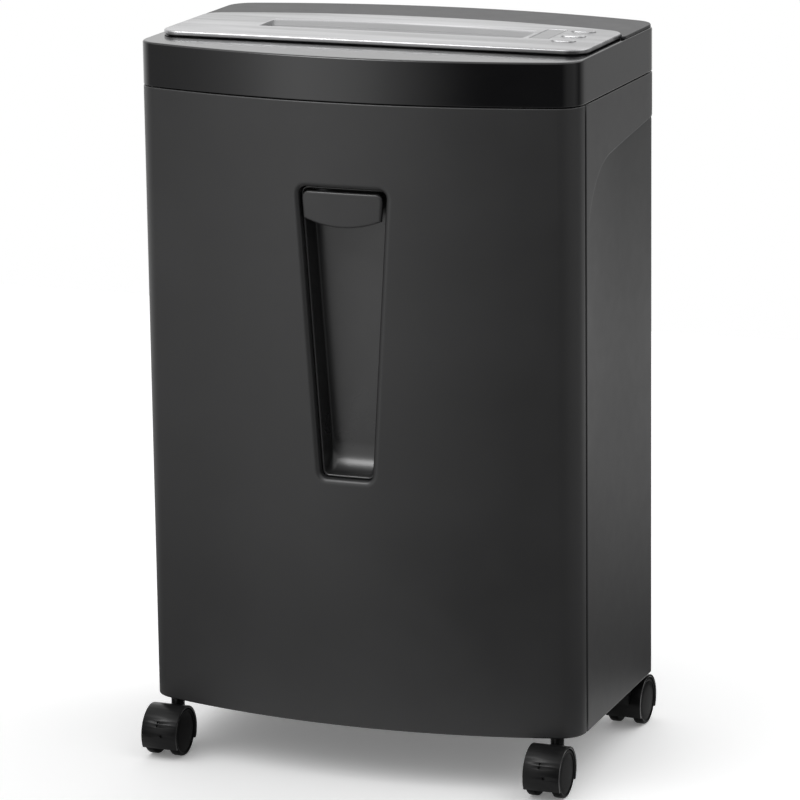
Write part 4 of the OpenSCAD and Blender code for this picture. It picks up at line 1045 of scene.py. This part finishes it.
# ---- repeated fittings, grown from trees
class Pattern(Nodes):
    """A geometry tree with named sizes, grown on a carrier of points and taken back as plain mesh."""

    def __init__(self, name, **sizes):
        super().__init__(bpy.data.node_groups.new(name, "GeometryNodeTree"))
        self.tree.interface.new_socket("Carrier", in_out="INPUT", socket_type="NodeSocketGeometry")
        for key, value in sizes.items():
            socket = self.tree.interface.new_socket(key, in_out="INPUT", socket_type="NodeSocketFloat")
            socket.default_value = value
        self.tree.interface.new_socket("Result", in_out="OUTPUT", socket_type="NodeSocketGeometry")
        self.given = self.node("NodeGroupInput").outputs

    def size(self, name):
        return Signal(self, self.given[name])

    def vector(self, **axes):
        return self.out("ShaderNodeCombineXYZ", **axes)

    def seat(self, carrier, solid, finish):
        """Puts the solid on each point, along the point's aim, and ends the tree."""
        named = self.node("GeometryNodeInputNamedAttribute", {"data_type": "FLOAT_VECTOR"}, {"Name": "aim"})
        turn = self.out("FunctionNodeAlignRotationToVector", {"axis": "Z"}, Vector=named.outputs["Attribute"])
        seated = self.out("GeometryNodeInstanceOnPoints", Points=carrier, Instance=solid, Rotation=turn)
        real = self.out("GeometryNodeRealizeInstances", Geometry=seated)
        flat = self.out("GeometryNodeSetShadeSmooth", Geometry=real, Shade_Smooth=False)
        last = self.out("GeometryNodeSetMaterial", Geometry=flat, Material=finish.material)
        self.node("NodeGroupOutput", {}, {"Result": last})

    def grow(self, name, points, aims, **sizes):
        """Grows the pattern on the points and gives back a plain mesh object."""
        carrier = bpy.data.meshes.new(name)
        carrier.from_pydata([tuple(p) for p in points], [], [])
        aim = carrier.attributes.new("aim", "FLOAT_VECTOR", "POINT")
        aim.data.foreach_set("vector", np.ravel(aims))
        piece = placed(name, carrier)
        modifier = piece.modifiers.new("pattern", "NODES")
        modifier.node_group = self.tree
        for item in self.tree.interface.items_tree:
            if item.in_out == "INPUT" and item.name in sizes:
                modifier[item.identifier] = sizes[item.name]
        return baked(piece)


def screw_pattern():
    """A pan-head screw with a cross recess, its head standing up from the point and its shank below."""
    p = Pattern("screws", Head_Radius=0.0034, Head_Height=0.002, Shank_Radius=0.0016, Length=0.01)
    r, h, shank, long = (p.size(name) for name in ("Head_Radius", "Head_Height", "Shank_Radius", "Length"))

    def moved(solid, z):
        return p.out("GeometryNodeTransform", Geometry=solid, Translation=p.vector(Z=z))

    def cylinder(sides, radius, depth):
        return p.out("GeometryNodeMeshCylinder", ngon, Vertices=sides, Radius=radius, Depth=depth)

    ngon = {"fill_type": "NGON"}
    rim = cylinder(28, r, h * 0.6)
    dome = p.out("GeometryNodeMeshCone", ngon,
                 Vertices=28, Radius_Top=r * 0.72, Radius_Bottom=r, Depth=h * 0.4)
    both = {1: [moved(rim, h * 0.3), moved(dome, h * 0.6)]}
    solid = p.node("GeometryNodeMeshBoolean", {"operation": "UNION"}, both).outputs[0]
    arms = []
    for wide in ("X", "Y"):
        size = {"X": r * 0.24, "Y": r * 0.24, "Z": h, wide: r * 1.1}
        arms.append(moved(p.out("GeometryNodeMeshCube", Size=p.vector(**size)), h * 1.05))
    head = p.node("GeometryNodeMeshBoolean", {"operation": "DIFFERENCE"}, {0: solid, 1: arms}).outputs[0]
    stem = moved(cylinder(20, shank, long), long * -0.5)
    p.seat(p.given["Carrier"], p.out("GeometryNodeJoinGeometry", Geometry=[head, stem]), zinc)
    return p


def islands(node):
    """The separate solids of a CAD node, as arrays of corner points in metres."""
    work = merged(node)
    seen, found = set(), []
    for start in work.verts:
        if start not in seen:
            group, queue = [], [start]
            seen.add(start)
            while queue:
                v = queue.pop()
                group.append(tuple(v.co))
                others = [edge.other_vert(v) for edge in v.link_edges]
                others = [other for other in others if other not in seen]
                seen.update(others)
                queue += others
            found.append(np.array(group))
    work.free()
    return found


def screw_seats(node, axis, head_height):
    """For each screw of a node, the point under its head and the way its head faces; and their length."""
    seats, aims, length = [], [], 0
    for points in islands(node):
        low, high = points.min(0), points.max(0)
        middle = (low + high) / 2
        across = np.abs(np.delete(points - middle, axis, 1)).max(1)
        widths = [across[np.abs(points[:, axis] - end[axis]) < 1e-5].max() for end in (low, high)]
        way = 1 if widths[1] > widths[0] else -1
        seat, aim = middle.copy(), np.zeros(3)
        seat[axis] = (high if way > 0 else low)[axis] - way * head_height
        aim[axis] = way
        seats.append(seat)
        aims.append(aim)
        length = max(length, high[axis] - low[axis] - head_height)
    return seats, aims, length


# Node, the axis that its screws lie along, head radius, head height and shank radius in metres
SCREWS = [("head_screws", 2, 0.0034, 0.002, 0.0016), ("bin_screws", 1, 0.0034, 0.002, 0.0016),
          ("mechanism_screws", 0, 0.0036, 0.0024, 0.002)]
screws = screw_pattern()
for node, axis, head_r, head_h, shank_r in SCREWS:
    seats, aims, length = screw_seats(node, axis, head_h)
    grown = screws.grow(node + "_cross", seats, aims,
                        Head_Radius=head_r, Head_Height=head_h, Shank_Radius=shank_r, Length=length)
    stands_for(grown, node, finished=True)


# ---- studio
def seen_rays(tree):
    """1 for rays from the camera, from gloss and through glass, 0 for those that carry the light."""
    path = tree.node("ShaderNodeLightPath").outputs
    seen = Signal(tree, path["Is Camera Ray"]).larger(path["Is Glossy Ray"])
    return seen.larger(path["Is Transmission Ray"])


def staged(name, points, faces, material):
    """A sheet of the studio, which isn't part of the object."""
    mesh = bpy.data.meshes.new(name)
    mesh.from_pydata(points, [], faces)
    mesh.materials.append(material)
    piece = placed(name, mesh)
    return piece


# Floor: a pale matt sheet. As seen, it is brighter and glows a little, so it is white outside the shadow
SHEET, SHEET_SEEN, SHEET_LIFT, FLOOR_HALF = 0.7, 1.24, 0.14, 1.5
sheet_material = new_material("floor_sheet")
sheet = Nodes(sheet_material.node_tree)
plain = sheet.out("ShaderNodeBsdfDiffuse", Color=(SHEET,) * 3)
bright = sheet.out("ShaderNodeBsdfDiffuse", Color=(SHEET_SEEN,) * 3)
lift = sheet.out("ShaderNodeEmission", Strength=SHEET_LIFT)
bright = sheet.node("ShaderNodeAddShader", {}, {0: bright, 1: lift}).outputs[0]
both = sheet.node("ShaderNodeMixShader", {}, {0: seen_rays(sheet), 1: plain, 2: bright}).outputs[0]
sheet.node("ShaderNodeOutputMaterial", {}, {"Surface": both})
corners = [(x * FLOOR_HALF, y * FLOOR_HALF, 0) for x, y in ((-1, -1), (1, -1), (1, 1), (-1, 1))]
floor = staged("floor", corners, [(0, 1, 2, 3)], sheet_material)

# World: white to look at, half as bright as a light
world = bpy.data.worlds.new("studio")
world.use_nodes = True
bpy.context.scene.world = world
sky = Nodes(world.node_tree)
glow = sky.out("ShaderNodeBackground", Color=(1, 1, 1), Strength=seen_rays(sky) * 0.5 + 0.5)
sky.node("ShaderNodeOutputWorld", {}, {"Surface": glow})

# Tent: a low wall round the object, with a sheet before it, that only its gloss shows. Degrees round it from
# the front, to the right, and how bright the sheet and the wall are there; rows give its radius, height,
# share of wall and brightness
TENT = [(-180, 1, 1), (-100, 0.9, 0.9), (-75, 0.4, 0.3), (-55, 0.6, 0.36), (-49, 0.65, 0.47),
        (-45, 0.75, 0.59), (-41, 0.85, 0.75), (-36.5, 1.1, 1.05), (-32.5, 1.4, 1.4), (-28, 1.55, 1.55),
        (-24, 1.45, 1.45), (-20, 1.33, 1.33), (-16, 1.14, 1.14), (-12, 0.9, 0.82), (-7.6, 0.7, 0.55),
        (-3.4, 0.5, 0.3), (1, 0.35, 0.1), (5, 0.3, 0.03), (40, 0.3, 0.05), (60, 0.6, 0.3),
        (90, 0.75, 0.4), (112, 0.6, 0.1), (130, 0.95, 0.36), (160, 0.95, 0.4), (180, 1, 1)]
TENT_ROWS = [(0.28, 0.003, 0, 0.1), (0.45, 0.003, 0, 0.18), (0.7, 0.003, 0, 0.36), (1, 0.003, 0, 0.68),
             (1.4, 0.003, 0, 0.9), (1.93, 0.003, 0, 1.15), (1.98, 0.02, 1, 1.05), (2, 0.07, 1, 1),
             (2, 0.3, 1, 1.1), (2, 1.4, 0.85, 1.1)]
TENT_STEPS = 180


def tent():
    material = new_material("tent_wall")
    wall = Nodes(material.node_tree)
    level = wall.node("ShaderNodeAttribute", {"attribute_name": "glow"}).outputs["Fac"]
    wall.node("ShaderNodeOutputMaterial", {}, {"Surface": wall.out("ShaderNodeEmission", Strength=level)})
    points, glows = [], []
    turns, sheets, walls = zip(*TENT)
    for i in range(TENT_STEPS):
        turn = -180 + 360 * i / TENT_STEPS
        flat, upright = np.interp(turn, turns, sheets), np.interp(turn, turns, walls)
        a = math.radians(turn)
        points += [(r * math.sin(a), -r * math.cos(a), z) for r, z, _, _ in TENT_ROWS]
        glows += [(flat + (upright - flat) * share) * brightness for _, _, share, brightness in TENT_ROWS]
    piece = staged("tent", points, turned_faces(TENT_STEPS, len(TENT_ROWS)), material)
    marked(piece.data, "glow", glows)
    piece.visible_camera = piece.visible_diffuse = piece.visible_transmission = False
    piece.visible_shadow = piece.visible_volume_scatter = False


tent()


def lamp(name, place, target_height, size, power):
    """A softbox aimed at a height on the object's axis; size in metres each way, power in watts."""
    light = bpy.data.lights.new(name, "AREA")
    light.shape, light.size, light.size_y, light.energy = "RECTANGLE", *size, power
    holder = placed(name, light)
    holder.location = place
    aim = Vector((0, 0, target_height)) - holder.location
    holder.rotation_euler = aim.to_track_quat("-Z", "Y").to_euler()
    return holder


lamp("key_softbox", (-1.4, -1.6, 3.3), 0.3, (3.6, 3.6), 33)
lamp("fill_softbox", (2.2, 0.9, 2.8), 0.3, (3, 3), 22)
lamp("back_softbox", (0.1, 2.5, 3.1), 0.3, (4, 3), 28)
accent = lamp("accent_softbox", (-1.32, -2, 3), 0.4, (1.1, 1.1), 44)

# The accent lamp is kept off the floor
unaccented = bpy.data.collections.new("unaccented")
unaccented.objects.link(floor)
unaccented.collection_objects[0].light_linking.link_state = "EXCLUDE"
accent.light_linking.receiver_collection = unaccented

# Camera: its place, the way that it looks, and its small tilt to one side
CAMERA_PLACE, CAMERA_AHEAD, CAMERA_ROLL = (1.2894, -3.2873, 1.1400), (-0.3552, 0.9047, -0.2353), -0.744
camera = bpy.data.cameras.new("camera")
camera.sensor_width, camera.lens = 36, 200.865
viewer = placed("camera", camera)
level = Vector(CAMERA_AHEAD).normalized().to_track_quat("-Z", "Y").to_matrix().to_4x4()
roll = Matrix.Rotation(math.radians(CAMERA_ROLL), 4, "Z")
viewer.matrix_world = Matrix.Translation(CAMERA_PLACE) @ level @ roll
bpy.context.scene.camera = viewer
bpy.context.scene.view_settings.view_transform = "Standard"
